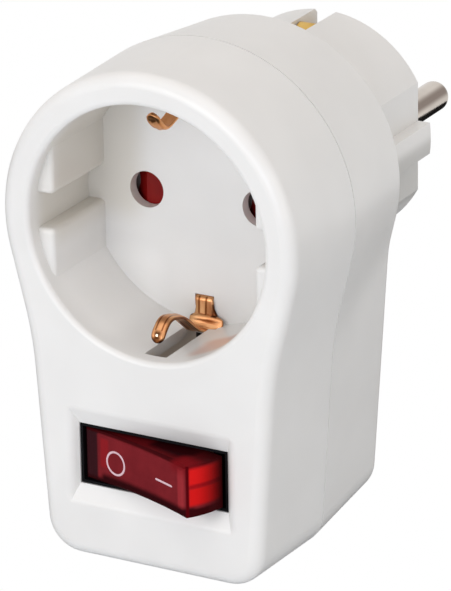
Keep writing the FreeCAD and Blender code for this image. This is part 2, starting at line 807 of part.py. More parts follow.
def contact_carrier():
    body = new_body("contact_carrier")

    # Plate: a disc with flats, pierced for the pins
    plate = facing(body, CARRIER_BACK)
    radius, tall = CARRIER_RADIUS, S["carrier_half_height"]
    wide = root(radius * radius - tall * tall)
    path(plate, [
        (-wide, tall),
        (-radius, 0, radius, "left"),
        (-wide, -tall, radius, "left"),
        (wide, -tall),
        (radius, 0, radius, "left"),
        (wide, tall, radius, "left"),
    ])
    pad(body, plate, S["carrier_plate"])

    # Rails ahead of the plate: they guide the shutter and seat on the back of the well's floor
    rails = facing(body, CARRIER)
    guide = S["shutter_half_height"] + S["shutter_clearance"]
    far = guide + S["rail_height"]
    roof = guide + S["spring_chamber_height"] + S["rail_height"]
    end = root(radius * radius - roof * roof)
    stop = S["shutter_lug_left"] + S["shutter_clearance"]
    rectangle(rails, -end, -far, end, -guide)
    path(rails, [
        (-end, guide), (-stop, guide), (-stop, roof - S["rail_height"]),
        (S["spring_stop_x"], roof - S["rail_height"]), (S["spring_stop_x"], guide),
        (end, guide), (end, roof), (-end, roof),
    ])
    pad(body, rails, S["carrier_setback"])

    # Chambers around the contacts, and legs that stand on the rear wall
    chambers = facing(body, CARRIER_BACK)
    wide = S["chamber_half_width"] + S["chamber_wall"]
    tall = S["chamber_half_height"] + S["chamber_wall"]
    for side in (1, -1):
        rectangle(chambers, side * PIN_X - wide, -tall, side * PIN_X + wide, tall)
    pad(body, chambers, S["chamber_length"], Reversed=True)
    rooms = facing(body, CARRIER_BACK)
    wide, tall = S["chamber_half_width"], S["chamber_half_height"]
    for side in (1, -1):
        rectangle(rooms, side * PIN_X - wide, -tall, side * PIN_X + wide, tall)
    pocket(body, rooms, S["chamber_length"])
    mouths = facing(body, CARRIER)
    for side in (1, -1):
        circle(mouths, side * PIN_X, 0, S["pin_hole_radius"])
    pocket(body, mouths, S["carrier_plate"])
    legs = facing(body, CARRIER_BACK)
    for x_side in (1, -1):
        for z_side in (1, -1):
            circle(legs, x_side * S["carrier_leg_x"], z_side * S["carrier_leg_z"],
                   S["carrier_leg_radius"])
    pad(body, legs, CARRIER_BACK - REAR_INSIDE, Reversed=True)
    return body


def shutter_slide():
    body = new_body("shutter_slide")
    ahead = FLOOR_BACK - S["shutter_clearance"]
    left, tall = CARRIER_RADIUS, S["shutter_half_height"]

    # Plate with one window beside each pin hole, which the travel brings in line with it
    plate = facing(body, ahead - S["shutter_thickness"])
    rectangle(plate, -left, -tall, left - S["shutter_travel"], tall)
    pad(body, plate, S["shutter_thickness"])
    windows = facing(body, ahead)
    for side in (1, -1):
        circle(windows, side * PIN_X - S["shutter_travel"], 0, S["shutter_window_radius"])
    pocket(body, windows, S["shutter_thickness"])

    # Ramps: a pin that enters pushes the slide aside
    ramps = sketch(body, "XY_Plane", -S["shutter_window_radius"])
    for side in (1, -1):
        centre = side * PIN_X - S["shutter_ramp"]
        foot = side * PIN_X - S["shutter_travel"] + S["shutter_window_radius"] / 2
        path(ramps, [
            (centre, -ahead),
            (foot, -ahead + S["shutter_thickness"]),
            (foot, -ahead),
        ])
    pocket(body, ramps, S["shutter_window_radius"] * 2, Reversed=True)

    # Lug that carries the return spring
    lug = facing(body, ahead - S["shutter_thickness"])
    rectangle(lug, -S["shutter_lug_left"], tall - 1,
              -S["shutter_lug_left"] + S["shutter_lug_width"],
              tall + S["spring_chamber_height"] - S["shutter_clearance"])
    pad(body, lug, S["shutter_thickness"])
    return body


def bent_strip(points, radius, sheet_size, half_width):
    """A strip of sheet bent along a line in the Y-Z plane, as a closed outline made solid.

    points are (station, z) corners, radius is the bend radius at the middle of the sheet.
    """
    corners = [Vector(0, -float(station), float(z)) for station, z in points]
    half = float(sheet_size) / 2
    sides = []
    for sign in (1, -1):
        edges = []
        start = None
        for index, corner in enumerate(corners):
            if index == 0:
                along = (corners[1] - corner).normalize()
                start = corner + Vector(0, -along.z, along.y) * half * sign
                continue
            before = (corner - corners[index - 1]).normalize()
            normal = Vector(0, -before.z, before.y)
            if index == len(corners) - 1:
                finish = corner + normal * half * sign
                edges.append(Part.LineSegment(start, finish).toShape())
                continue
            after = (corners[index + 1] - corner).normalize()
            next_normal = Vector(0, -after.z, after.y)
            turn = math.atan2(before.y * after.z - before.z * after.y, before.dot(after))
            trim = float(radius) * math.tan(abs(turn) / 2)
            centre_side = 1 if turn > 0 else -1
            centre = corner - before * trim + normal * float(radius) * centre_side
            enter = corner - before * trim + normal * half * sign
            leave = corner + after * trim + next_normal * half * sign
            middle_way = (enter - centre) + (leave - centre)
            middle = centre + middle_way.normalize() * (enter - centre).Length
            edges.append(Part.LineSegment(start, enter).toShape())
            edges.append(Part.Arc(enter, middle, leave).toShape())
            start = leave
        sides.append(edges)
    first, second = sides
    begin = Part.LineSegment(second[0].Vertexes[0].Point, first[0].Vertexes[0].Point).toShape()
    finish = Part.LineSegment(first[-1].Vertexes[-1].Point, second[-1].Vertexes[-1].Point).toShape()
    wire = Part.Wire(Part.__sortEdges__(first + second + [begin, finish]))
    face = Part.Face(wire)
    width = float(half_width)
    face.translate(Vector(-width, 0, 0))
    return face.extrude(Vector(2 * width, 0, 0))


def box_between(x0, x1, station0, station1, z0, z1):
    """A block between two values of x, two stations and two values of z."""
    low = Vector(min(float(x0), float(x1)), -max(float(station0), float(station1)),
                 min(float(z0), float(z1)))
    spans = (abs(float(x1) - float(x0)), abs(float(station1) - float(station0)),
             abs(float(z1) - float(z0)))
    return Part.makeBox(*spans, low)


def rod(start, finish, radius):
    """A cylinder between two points."""
    way = finish - start
    return Part.makeCylinder(float(radius), way.Length, start, way)


def plain_feature(name, shape, x=0.0):
    made = doc.addObject("Part::Feature", name)
    made.Label = name
    made.Shape = shape
    made.Placement = Placement(Vector(float(x), 0, 0), Rotation())
    return made


def point(x, station, z):
    return Vector(float(x), -float(station), float(z))


def socket_contact(name, side):
    """A folded sleeve: two leaves that grip the pin, a back plate and a tab for the wire."""
    back, mouth = CONTACT_BACK, CONTACT_BACK + S["contact_length"]
    gap, waist = S["contact_half_gap"], S["contact_waist"]
    quarter = S["contact_length"] / 4
    leaf = [
        (mouth, gap + S["contact_mouth_flare"]),
        (mouth - quarter, waist + S["contact_sheet"] / 2),
        (mouth - quarter * 2, gap),
        (back + S["contact_sheet"] / 2, gap),
        (back + S["contact_sheet"] / 2, -gap),
        (mouth - quarter * 2, -gap),
        (mouth - quarter, -waist - S["contact_sheet"] / 2),
        (mouth, -gap - S["contact_mouth_flare"]),
    ]
    sleeve = bent_strip(leaf, S["contact_sheet"], S["contact_sheet"], S["contact_half_width"])
    tab_x = -side * S["tab_offset"]
    half = S["contact_sheet"] / 2
    tab_start = back + S["tab_setback"]
    tab = box_between(tab_x - half, tab_x + half, tab_start, tab_start + S["tab_width"],
                      -gap, -TAB_END)
    return plain_feature(name, sleeve.fuse(tab).removeSplitter(), side * PIN_X)


def neutral_link():
    """The bridge from the back of the right contact to the collar of the right pin."""
    back, collar = CONTACT_BACK, COLLAR
    half = S["link_sheet"] / 2
    rise = S["link_rise"]
    corners = [
        (back - half, -S["contact_half_gap"]),
        (back - half, rise),
        (collar + half, rise),
        (collar + half, -S["contact_half_gap"]),
    ]
    strip = bent_strip(corners, S["link_sheet"], S["link_sheet"], S["link_half_width"])
    hole = rod(point(0, collar - half, 0), point(0, collar + half * 3, 0),
               S["pin_rivet_radius"])
    return plain_feature("neutral_link", strip.cut(hole), PIN_X)


def socket_earth_strap():
    """One bent strip: a back behind the carrier, and a spring clip at each end in the well."""
    sheet_size = S["strap_sheet"]
    half = sheet_size / 2
    back = CARRIER_BACK - half
    well = S["well_radius"]
    clip = [
        (back, 0),
        (back, STRAP_RISE),
        (FLOOR + half, STRAP_RISE),
        (FLOOR + half, CLIP_ROOT),
        (FLOOR + S["clip_low_reach"], CLIP_LOW),
        (FRONT - S["clip_knee_depth"], well - S["clip_knee_inset"]),
        (FRONT - S["clip_hump_depth"], well - S["clip_hump_inset"]),
        (FRONT - S["clip_tip_depth"], well - S["clip_tip_inset"]),
    ]
    upper = bent_strip(clip, S["clip_bend_radius"], sheet_size, S["strap_half_width"])
    tongue = S["strap_tongue_half_width"]
    wide = S["strap_half_width"] + 1
    narrow = S["clip_half_width"]
    strip_start = FLOOR + S["clip_low_reach"] + sheet_size
    outside = CLIP_LOW + wide
    cuts = []
    for side in (1, -1):
        cuts.append(box_between(side * tongue, side * wide, FLOOR + sheet_size, back - sheet_size,
                                -sheet_size, CLIP_ROOT - sheet_size))
        cuts.append(box_between(side * narrow, side * wide, strip_start, FRONT, 0, outside))
        corners = [point(side * x, FLOOR, z) for x, z in (
            (wide, CLIP_ROOT), (S["strap_half_width"], CLIP_ROOT), (narrow, CLIP_LOW),
            (narrow, outside), (wide, outside))]
        wedge = Part.Face(Part.makePolygon(corners + corners[:1]))
        cuts.append(wedge.extrude(Vector(0, -float(strip_start - FLOOR), 0)))
    trimmed = upper.cut(cuts)
    tip = [edge for edge in trimmed.Edges
           if abs(edge.Length - float(sheet_size)) < 0.001
           and edge.BoundBox.YMin < float(S["clip_tip_depth"] - FRONT) + float(sheet_size)
           and edge.BoundBox.XLength < 0.001]
    trimmed = trimmed.makeFillet(float(S["clip_tip_rounding"]), tip)
    lower = trimmed.mirror(Vector(), Vector(0, 0, 1))
    strap = trimmed.fuse(lower).removeSplitter()
    return plain_feature("socket_earth_strap", strap)


def plug_earth_strap():
    """A brass bow: a back inside the plug, and two bowed legs that lie in the notches."""
    sheet_size = S["earth_sheet"]
    back = EARTH_BACK - sheet_size / 2
    leg = [
        (back, 0),
        (back, EARTH_RISE),
        (back - S["earth_heel"], EARTH_RISE),
        (S["earth_bow_reach"], EARTH_RISE + S["earth_bow"]),
        (S["earth_end_gap"], EARTH_RISE),
    ]
    upper = bent_strip(leg, sheet_size, sheet_size, S["earth_half_width"])
    strap = upper.fuse(upper.mirror(Vector(), Vector(0, 0, 1))).removeSplitter()
    return plain_feature("plug_earth_strap", strap)


def earth_post():
    """The post that joins the backs of the two earth straps."""
    start = CARRIER_BACK - S["strap_sheet"]
    post = doc.addObject("Part::Cylinder", "earth_post")
    post.Placement = Placement(Vector(), Rotation(Vector(1, 0, 0), 90))
    post.setExpression("Radius", S["earth_post_radius"].text)
    post.setExpression("Height", (start - EARTH_BACK).text)
    post.setExpression("Placement.Base.y", (-EARTH_BACK).text)
    return post


def switch_housing():
    body = new_body("switch_housing")
    middle = -S["switch_drop"]

    # Box behind the front wall, and the neck that stands in the window
    box = facing(body, SWITCH_BACK)
    wide, tall = S["switch_half_width"], S["switch_half_height"]
    rectangle(box, -wide, middle - tall, wide, middle + tall)
    pad(body, box, SWITCH_SEAT - SWITCH_BACK)
    neck = facing(body, SWITCH_SEAT)
    wide = S["window_half_width"] - S["switch_neck_clearance"]
    tall = S["window_half_height"] - S["switch_neck_clearance"]
    rectangle(neck, -wide, middle - tall, wide, middle + tall)
    pad(body, neck, WINDOW - S["switch_neck_setback"] - SWITCH_SEAT)

    # Room for the rocker and the contacts
    room = facing(body, WINDOW)
    wide = wide - S["switch_neck_wall"]
    tall = tall - S["switch_neck_wall"]
    rectangle(room, -wide, middle - tall, wide, middle + tall)
    pocket(body, room, WINDOW - SWITCH_BACK - S["switch_back_wall"])

    # Holes for the rocker's pivot pins
    pivots = sketch(body, "XY_Plane", middle)
    circle(pivots, 0, -PIVOT, S["rocker_pin_radius"] + S["rocker_pin_clearance"])
    depth = (S["rocker_half_height"] + S["rocker_pin_length"] + S["rocker_pin_clearance"]) * 2
    pocket(body, pivots, depth, Midplane=True)

    # Slots for the three terminals
    slots = facing(body, SWITCH_BACK + S["switch_back_wall"])
    half, tall = S["terminal_sheet"] / 2 + 0.05, S["terminal_half_width"] + 0.05
    for side in (-1, 0, 1):
        x = side * S["terminal_x"]
        rectangle(slots, x - half, middle - tall, x + half, middle + tall)
    pocket(body, slots, S["switch_back_wall"])
    return body


def tilt(body, station, turn, angle):
    """Stand a body, drawn about an upright pivot axis, on that axis and turn it about it."""
    body.Placement = Placement(Vector(), Rotation(Vector(0, 0, turn), angle.value))
    body.setExpression("Placement.Base.y", (-station).text)
    body.setExpression("Placement.Base.z", (-S["switch_drop"]).text)
    body.setExpression("Placement.Rotation.Angle", angle.text)
    return body


def switch_rocker():
    """The rocker, drawn level about its pivot axis and then tilted to its off position."""
    body = new_body("switch_rocker")
    tip_x, tip_rise = S["rocker_tip_x"], S["rocker_tip_rise"]
    tall = S["rocker_half_height"]
    sweep = root(tip_x * tip_x + tip_rise * tip_rise)
    skirt = S["rocker_skirt"]
    skirt_x = root(sweep * sweep - skirt * skirt)
    dip = S["rocker_hollow"]
    dish = (tip_x * tip_x + dip * dip) / (dip * 2)

    # Side view: a hollowed front between two ends that sweep about the pivot
    side = sketch(body, "XY_Plane")
    path(side, [
        (skirt_x, skirt, sweep, "left"),
        (-skirt_x, skirt),
        (-tip_x, -tip_rise, sweep, "left"),
        (tip_x, -tip_rise, dish, "right"),
    ])
    block = pad(body, side, tall * 2, Midplane=True)
    front_limit = -(tip_rise - dip).value + 0.01
    round_edges(body, block, S["rocker_edge"],
                lambda edge: edge.BoundBox.YMax < front_limit, "Chamfer")

    # Two rooms behind the front face; the web between them carries the plunger
    rooms = facing(body, -skirt)
    inner = S["rocker_half_height"] - S["rocker_wall"]
    for way in (1, -1):
        rectangle(rooms, way * S["rocker_boss_radius"], -inner,
                  way * (tip_x - S["rocker_wall"] * 2), inner)
    pocket(body, rooms, skirt + tip_rise - dip - S["rocker_wall"], Reversed=True)
    bore = facing(body, -skirt)
    circle(bore, 0, 0, S["plunger_radius"] + S["plunger_clearance"])
    pocket(body, bore, skirt + S["plunger_seat"] + S["plunger_spring_length"], Reversed=True)

    # Pivot pins
    pins = sketch(body, "XY_Plane")
    circle(pins, 0, 0, S["rocker_pin_radius"])
    upper = tall + S["rocker_pin_length"]
    pins.setExpression("AttachmentOffset.Base.z", (tall - 0.5).text)
    pad(body, pins, upper - tall + 0.5)
    pins = sketch(body, "XY_Plane", 0.5 - tall)
    circle(pins, 0, 0, S["rocker_pin_radius"])
    pad(body, pins, upper - tall + 0.5, Reversed=True)
    return tilt(body, PIVOT, -1, S["rocker_tilt"])


def switch_plunger():
    """A round-nosed pin in the rocker's web, which rides over the contact lever."""
    body = new_body("switch_plunger")
    half = sketch(body, "XY_Plane")
    radius, nose = S["plunger_radius"], S["plunger_reach"]
    path(half, [
        (0, -S["plunger_seat"]),
        (radius, -S["plunger_seat"]),
        (radius, nose),
        (0, nose + radius, radius, "left"),
    ])
    add_feature(body, "Revolution", half, ReferenceAxis=(half, ["V_Axis"]), Angle=360.0)
    return tilt(body, PIVOT, -1, S["rocker_tilt"])


def plunger_spring():
    """The space the plunger's spring fills, as a plain sleeve."""
    body = new_body("plunger_spring")
    ring = facing(body, S["plunger_seat"])
    circle(ring, 0, 0, S["plunger_radius"] - 0.1)
    circle(ring, 0, 0, S["plunger_radius"] - 0.35)
    pad(body, ring, S["plunger_spring_length"])
    return tilt(body, PIVOT, -1, S["rocker_tilt"])


def contact_lever():
    """A shallow V that rocks on the feed terminal, with a contact bar under its left arm."""
    body = new_body("contact_lever")
    slope, half = S["lever_slope"], S["lever_sheet"] / 2
    bar, bar_half = half + S["button_height"], S["button_radius"]
    left_end = S["lever_contact_x"] + bar_half
    left_start = S["lever_contact_x"] - bar_half
    right = S["lever_right_arm"]

    def on_arm(side, along, aside):
        """A point at a distance along an arm and aside of its middle, positive to the rear."""
        x = side * (along * cos(slope) + aside * sin(slope))
        return (x, aside * cos(slope) - along * sin(slope))

    profile = sketch(body, "XY_Plane")
    path(profile, [
        on_arm(-1, left_end, -half),
        on_arm(-1, left_end, bar),
        on_arm(-1, left_start, bar),
        on_arm(-1, left_start, half),
        (0, half / cos(slope)),
        on_arm(1, right, half),
        on_arm(1, right, -half),
        (0, -half / cos(slope)),
    ])
    pad(body, profile, S["lever_half_width"] * 2, Midplane=True)
    return tilt(body, LEVER, 1, S["lever_tilt"])


def terminal(name, side, front_depth, pad_height):
    """A blade through the back of the switch; a contact pad may stand on its front end."""
    body = new_body(name)
    x, middle = side * S["terminal_x"], -S["switch_drop"]
    half, tall = S["terminal_sheet"] / 2, S["terminal_half_width"]
    end = SWITCH_BACK - S["terminal_reach"]
    blade = facing(body, end)
    rectangle(blade, x - half, middle - tall, x + half, middle + tall)
    pad(body, blade, FRONT - front_depth - pad_height - end)
    if pad_height.value > 0:
        contact = facing(body, FRONT - front_depth - pad_height)
        circle(contact, x, middle, S["button_radius"])
        pad(body, contact, pad_height)
    return body


def feed_lug():
    """The plate on the left pin's collar, with an arm that the feed wire joins."""
    body = new_body("feed_lug")
    x, half = -S["feed_x"], S["feed_arm_half_width"]
    plate = facing(body, COLLAR)
    circle(plate, -PIN_X, 0, S["pin_collar_radius"])
    pad(body, plate, S["link_sheet"])
    arm = facing(body, COLLAR)
    path(arm, [
        (-PIN_X, half),
        (-PIN_X, -half),
        (x - half, -half),
        (x - half, -S["feed_drop"]),
        (x + half, -S["feed_drop"]),
        (x + half, half),
    ])
    pad(body, arm, S["link_sheet"])
    hole = facing(body, COLLAR)
    circle(hole, -PIN_X, 0, S["pin_rivet_radius"])
    pocket(body, hole, S["link_sheet"], Reversed=True)
    return body


def shutter_spring():
    """The space the shutter's return spring fills, as a plain sleeve."""
    body = new_body("shutter_spring")
    ring = sketch(body, "YZ_Plane", S["shutter_lug_width"] - S["shutter_lug_left"])
    z = S["shutter_half_height"] + S["shutter_clearance"] + S["spring_chamber_height"] / 2
    y = S["shutter_clearance"] + S["shutter_thickness"] / 2 - FLOOR_BACK
    circle(ring, y, z, S["spring_radius"])
    circle(ring, y, z, S["spring_radius"] - S["spring_wire_radius"] * 2)
    pad(body, ring, S["spring_stop_x"] - S["shutter_lug_width"] + S["shutter_lug_left"])
    return body


def rounded_wire(corners, bend, radius):
    """A round wire along straight runs joined by tangent arcs of one bend radius."""
    bend = float(bend)
    runs = []
    start = corners[0]
    for before, corner, after in zip(corners, corners[1:], corners[2:]):
        arriving = (corner - before).normalize()
        leaving = (after - corner).normalize()
        turn = arriving.getAngle(leaving)
        trim = bend * math.tan(turn / 2)
        enter = corner - arriving * trim
        leave = corner + leaving * trim
        inward = (leaving - arriving).normalize()
        middle = corner + inward * (bend / math.cos(turn / 2) - bend)
        runs.append(Part.LineSegment(start, enter).toShape())
        runs.append(Part.Arc(enter, middle, leave).toShape())
        start = leave
    runs.append(Part.LineSegment(start, corners[-1]).toShape())
    spine = Part.Wire(runs)
    first = (corners[1] - corners[0]).normalize()
    ring = Part.Wire(Part.makeCircle(float(radius), corners[0], first))
    return spine.makePipeShell([ring], True, False)


def tab_wire(name, side):
    """The wire from a socket contact's tab down to the switch terminal below it."""
    x = side * S["terminal_x"]
    low = -S["switch_drop"]
    tab_station = CONTACT_BACK + S["tab_setback"] + S["tab_width"] / 2
    turn_z = -TAB_END - S["wire_bend_radius"] - S["wire_lead_in"]
    corners = [
        point(x, tab_station, -TAB_END),
        point(x, tab_station, turn_z),
        point(x, WIRE, turn_z),
        point(x, WIRE, low),
        point(x, SWITCH_BACK - S["terminal_reach"], low),
    ]
    return plain_feature(name, rounded_wire(corners, S["wire_bend_radius"], S["wire_radius"]))


def wire_feed():
    """The wire from the feed lug on the left pin to the middle terminal of the switch."""
    low = -S["switch_drop"]
    start = COLLAR + S["link_sheet"] / 2
    turn_z = -S["feed_drop"] - S["wire_bend_radius"] - S["wire_lead_in"]
    x = -S["feed_x"]
    corners = [
        point(x, start, -S["feed_drop"]),
        point(x, start, turn_z),
        point(x, WIRE, turn_z),
        point(0, WIRE, low),
        point(0, SWITCH_BACK - S["terminal_reach"], low),
    ]
    return plain_feature("wire_feed",
                         rounded_wire(corners, S["wire_bend_radius"], S["wire_radius"]))


def neon_lamp():
    """A small glow lamp with rounded ends, and leads that reach the back of the switch."""
    radius, half = S["lamp_radius"], S["lamp_length"] / 2
    x, depth, middle = S["lamp_x"], FRONT - S["lamp_depth"], -S["switch_drop"]
    tube = rod(point(x, depth, middle - half + radius), point(x, depth, middle + half - radius),
               radius)
    for way in (1, -1):
        end = point(x, depth, middle + way * (half - radius))
        tube = tube.fuse(Part.makeSphere(float(radius), end))
    lead = rounded_wire([
        point(x, depth, middle - half + 0.5),
        point(x, depth, middle - half - S["lead_rise"]),
        point(x, SWITCH_BACK + S["switch_back_wall"], middle - half - S["lead_rise"]),
    ], S["lead_rise"] - 0.05, S["lead_radius"])
    return plain_feature("neon_lamp", tube.fuse(lead).removeSplitter())


def lamp_resistor():
    """The lamp's series resistor: a small cylinder, joined over the top to the lamp."""
    half = S["resistor_length"] / 2
    x, depth, middle = S["resistor_x"], FRONT - S["lamp_depth"], -S["switch_drop"]
    barrel = rod(point(x, depth, middle - half), point(x, depth, middle + half),
                 S["resistor_radius"])
    lamp_top = middle + S["lamp_length"] / 2
    over = lamp_top + S["lead_rise"]
    bridge = rounded_wire([
        point(x, depth, middle + half - 0.5),
        point(x, depth, over),
        point(S["lamp_x"], depth, over),
        point(S["lamp_x"], depth, lamp_top + 0.02),
    ], S["lead_rise"] - 0.05, S["lead_radius"])
    under = middle - S["lamp_length"] / 2 - S["lead_rise"]
    foot = rounded_wire([
        point(x, depth, middle - half + 0.5),
        point(x, depth, under),
        point(x, SWITCH_BACK + S["switch_back_wall"], under),
    ], S["lead_rise"] - 0.05, S["lead_radius"])
    return plain_feature("lamp_resistor", barrel.fuse(bridge).fuse(foot).removeSplitter())


PIECES = [
    front_casing(),
    rear_casing(),
    casing_screws(),
    plug_pin("plug_pin_left", -1),
    plug_pin("plug_pin_right", 1),
    contact_carrier(),
    shutter_slide(),
    shutter_spring(),
    socket_contact("socket_contact_left", -1),
    socket_contact("socket_contact_right", 1),
    neutral_link(),
    feed_lug(),
    socket_earth_strap(),
    plug_earth_strap(),
    earth_post(),
    switch_housing(),
    switch_rocker(),
    switch_plunger(),
    plunger_spring(),
    contact_lever(),
    terminal("terminal_feed", 0, S["lever_pivot_depth"] + S["lever_sheet"] / 2 + 0.05,
             as_size(0)),
    terminal("terminal_load", -1, S["load_contact_depth"], S["button_height"]),
    terminal("terminal_lamp", 1, S["lamp_terminal_depth"], as_size(0)),
    neon_lamp(),
    lamp_resistor(),
    wire_feed(),
    tab_wire("wire_outlet", -1),
    tab_wire("wire_lamp", 1),
]
doc.recompute()

# Nothing is written unless every object and every piece is sound
faulty = [item.Label for item in doc.Objects if {"Invalid", "Error"} & set(item.State)]
faulty += [piece.Label for piece in PIECES if piece.Shape.isNull() or not piece.Shape.isValid()]
if faulty:
    raise RuntimeError("faulty objects: " + ", ".join(faulty))

os.makedirs("parts", exist_ok=True)
for piece in PIECES:
    piece.Shape.exportStep(f"parts/{piece.Label}.step")
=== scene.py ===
# %% [markdown]
# Switched plug adapter
#
# The object is a white moulded adapter: a round socket well above a red rocker switch, and a
# two-pin plug behind. The CAD model gives the true sizes. This file gives it surfaces, the bent
# earth clips, wound springs and printed marks, a camera at the photograph's angle and soft studio
# light. Lengths are in metres, and where a value is in millimetres, its name or comment says so.

import math

import bpy
import numpy as np
from mathutils import Matrix, Vector


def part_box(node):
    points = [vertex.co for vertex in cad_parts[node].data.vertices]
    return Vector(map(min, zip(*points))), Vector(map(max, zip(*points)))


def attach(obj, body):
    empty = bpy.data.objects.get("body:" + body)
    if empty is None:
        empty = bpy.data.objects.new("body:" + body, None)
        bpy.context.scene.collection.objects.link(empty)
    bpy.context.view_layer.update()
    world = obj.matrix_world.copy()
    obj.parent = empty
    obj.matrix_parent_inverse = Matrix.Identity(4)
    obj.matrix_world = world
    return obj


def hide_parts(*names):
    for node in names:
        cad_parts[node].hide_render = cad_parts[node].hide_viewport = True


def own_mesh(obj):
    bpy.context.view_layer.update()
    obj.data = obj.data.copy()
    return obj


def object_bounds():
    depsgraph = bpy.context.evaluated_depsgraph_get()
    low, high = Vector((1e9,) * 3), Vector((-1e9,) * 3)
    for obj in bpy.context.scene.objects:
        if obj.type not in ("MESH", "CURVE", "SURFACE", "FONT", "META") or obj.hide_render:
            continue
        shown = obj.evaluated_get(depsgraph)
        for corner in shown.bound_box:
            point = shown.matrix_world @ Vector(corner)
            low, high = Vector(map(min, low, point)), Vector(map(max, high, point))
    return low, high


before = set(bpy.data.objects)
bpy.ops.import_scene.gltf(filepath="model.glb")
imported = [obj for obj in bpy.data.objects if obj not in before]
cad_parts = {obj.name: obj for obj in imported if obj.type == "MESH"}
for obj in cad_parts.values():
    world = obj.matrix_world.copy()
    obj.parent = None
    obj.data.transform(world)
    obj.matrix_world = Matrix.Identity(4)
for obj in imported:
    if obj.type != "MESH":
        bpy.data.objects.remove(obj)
cad_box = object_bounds()
MM = 0.001
print("CAD nodes:", len(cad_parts))

# %% [markdown]
# The camera was found by fitting about 150 points of the photograph to the standard sizes of the
# plug and socket. It stands to the right of the socket and looks down on it. A long lens gives the
# weak perspective that the product photograph shows.

# %% Camera at the photograph's angle
AZIMUTH, ELEVATION, ROLL = 0.507696, 0.369170, -0.015678
DISTANCE, FOCAL_PIXELS = 695.152 * MM, 4668.37
IMAGE_WIDTH, IMAGE_HEIGHT = 451, 591
TARGET_MM = (2.18584, -37.5, -15.73527)
SENSOR_WIDTH_MM = 36.0
target = Vector(TARGET_MM) * MM
back = Vector((math.sin(AZIMUTH) * math.cos(ELEVATION), -math.cos(AZIMUTH) * math.cos(ELEVATION),
               math.sin(ELEVATION)))
level_right = Vector((math.cos(AZIMUTH), math.sin(AZIMUTH), 0))
level_up = back.cross(level_right)
right = level_right * math.cos(ROLL) + level_up * math.sin(ROLL)
up = level_up * math.cos(ROLL) - level_right * math.sin(ROLL)

camera_data = bpy.data.cameras.new("product_camera")
camera_data.sensor_width = SENSOR_WIDTH_MM
camera_data.lens = FOCAL_PIXELS * SENSOR_WIDTH_MM / max(IMAGE_WIDTH, IMAGE_HEIGHT)
camera_data.clip_end = 10.0
camera = bpy.data.objects.new("product_camera", camera_data)
camera.matrix_world = Matrix((
    (right.x, up.x, back.x, 0),
    (right.y, up.y, back.y, 0),
    (right.z, up.z, back.z, 0),
    (0, 0, 0, 1)))
camera.location = target + back * DISTANCE
bpy.context.collection.objects.link(camera)
bpy.context.scene.camera = camera
bpy.context.scene.view_settings.view_transform = "Standard"
print("lens", round(camera_data.lens, 1), "mm")

# %% [markdown]
# Colours are written as sRGB hex values, as a colour picker shows them. Blender shades in linear
# light, so one function turns them. A second small function adds a node, sets its values and
# links its inputs, and every material below is made with it. The others build what materials
# share: a grain, a slow change of colour, and painted light and shade at places on the object.

# %% Colour and node helpers
def linear(hex_colour):
    """sRGB hex to linear RGBA: values above 0.04045 follow the sRGB power curve."""
    parts = np.array([int(hex_colour[i:i + 2], 16) for i in (1, 3, 5)]) / 255
    parts = np.where(parts > 0.04045, ((parts + 0.055) / 1.055) ** 2.4, parts / 12.92)
    return (*parts.tolist(), 1.0)


def add_node(tree, kind, settings=None, inputs=None):
    """Adds one node. settings are its properties; inputs are values or sockets to link from."""
    made = tree.nodes.new(kind)
    for name, value in (settings or {}).items():
        setattr(made, name, value)
    for name, value in (inputs or {}).items():
        if isinstance(value, bpy.types.NodeSocket):
            tree.links.new(value, made.inputs[name])
        else:
            made.inputs[name].default_value = value
    return made


def new_material(name, **shader_values):
    """A material with one Principled shader; returns it with its tree and shader."""
    material = bpy.data.materials.new(name)
    material.use_nodes = True
    tree = material.node_tree
    shader = tree.nodes["Principled BSDF"]
    for socket, value in shader_values.items():
        shader.inputs[socket.replace("_", " ")].default_value = value
    return material, tree, shader


def surface_grain(tree, shader, grain_mm, height_mm, stretch=(1, 1, 1)):
    """A bump from noise whose grain and height are given in real millimetres."""
    place = add_node(tree, "ShaderNodeTexCoord")
    scaled = add_node(tree, "ShaderNodeMapping", inputs={
        "Vector": place.outputs["Object"], "Scale": stretch})
    noise = add_node(tree, "ShaderNodeTexNoise", inputs={
        "Vector": scaled.outputs["Vector"], "Scale": 1 / (grain_mm * MM), "Detail": 3.0})
    bump = add_node(tree, "ShaderNodeBump", inputs={
        "Height": noise.outputs["Fac"], "Distance": height_mm * MM, "Strength": 1.0})
    tree.links.new(bump.outputs["Normal"], shader.inputs["Normal"])


def mottle(tree, shader, colour_a, colour_b, patch_mm):
    """A slow change between two close colours, in patches of a real size; returns the colour."""
    place = add_node(tree, "ShaderNodeTexCoord")
    noise = add_node(tree, "ShaderNodeTexNoise", inputs={
        "Vector": place.outputs["Object"], "Scale": 1 / (patch_mm * MM), "Detail": 2.0})
    ramp = add_node(tree, "ShaderNodeValToRGB", inputs={"Fac": noise.outputs["Fac"]})
    ramp.color_ramp.elements[0].position = 0.35
    ramp.color_ramp.elements[1].position = 0.65
    ramp.color_ramp.elements[0].color = linear(colour_a)
    ramp.color_ramp.elements[1].color = linear(colour_b)
    tree.links.new(ramp.outputs["Color"], shader.inputs["Base Color"])
    return ramp.outputs["Color"]


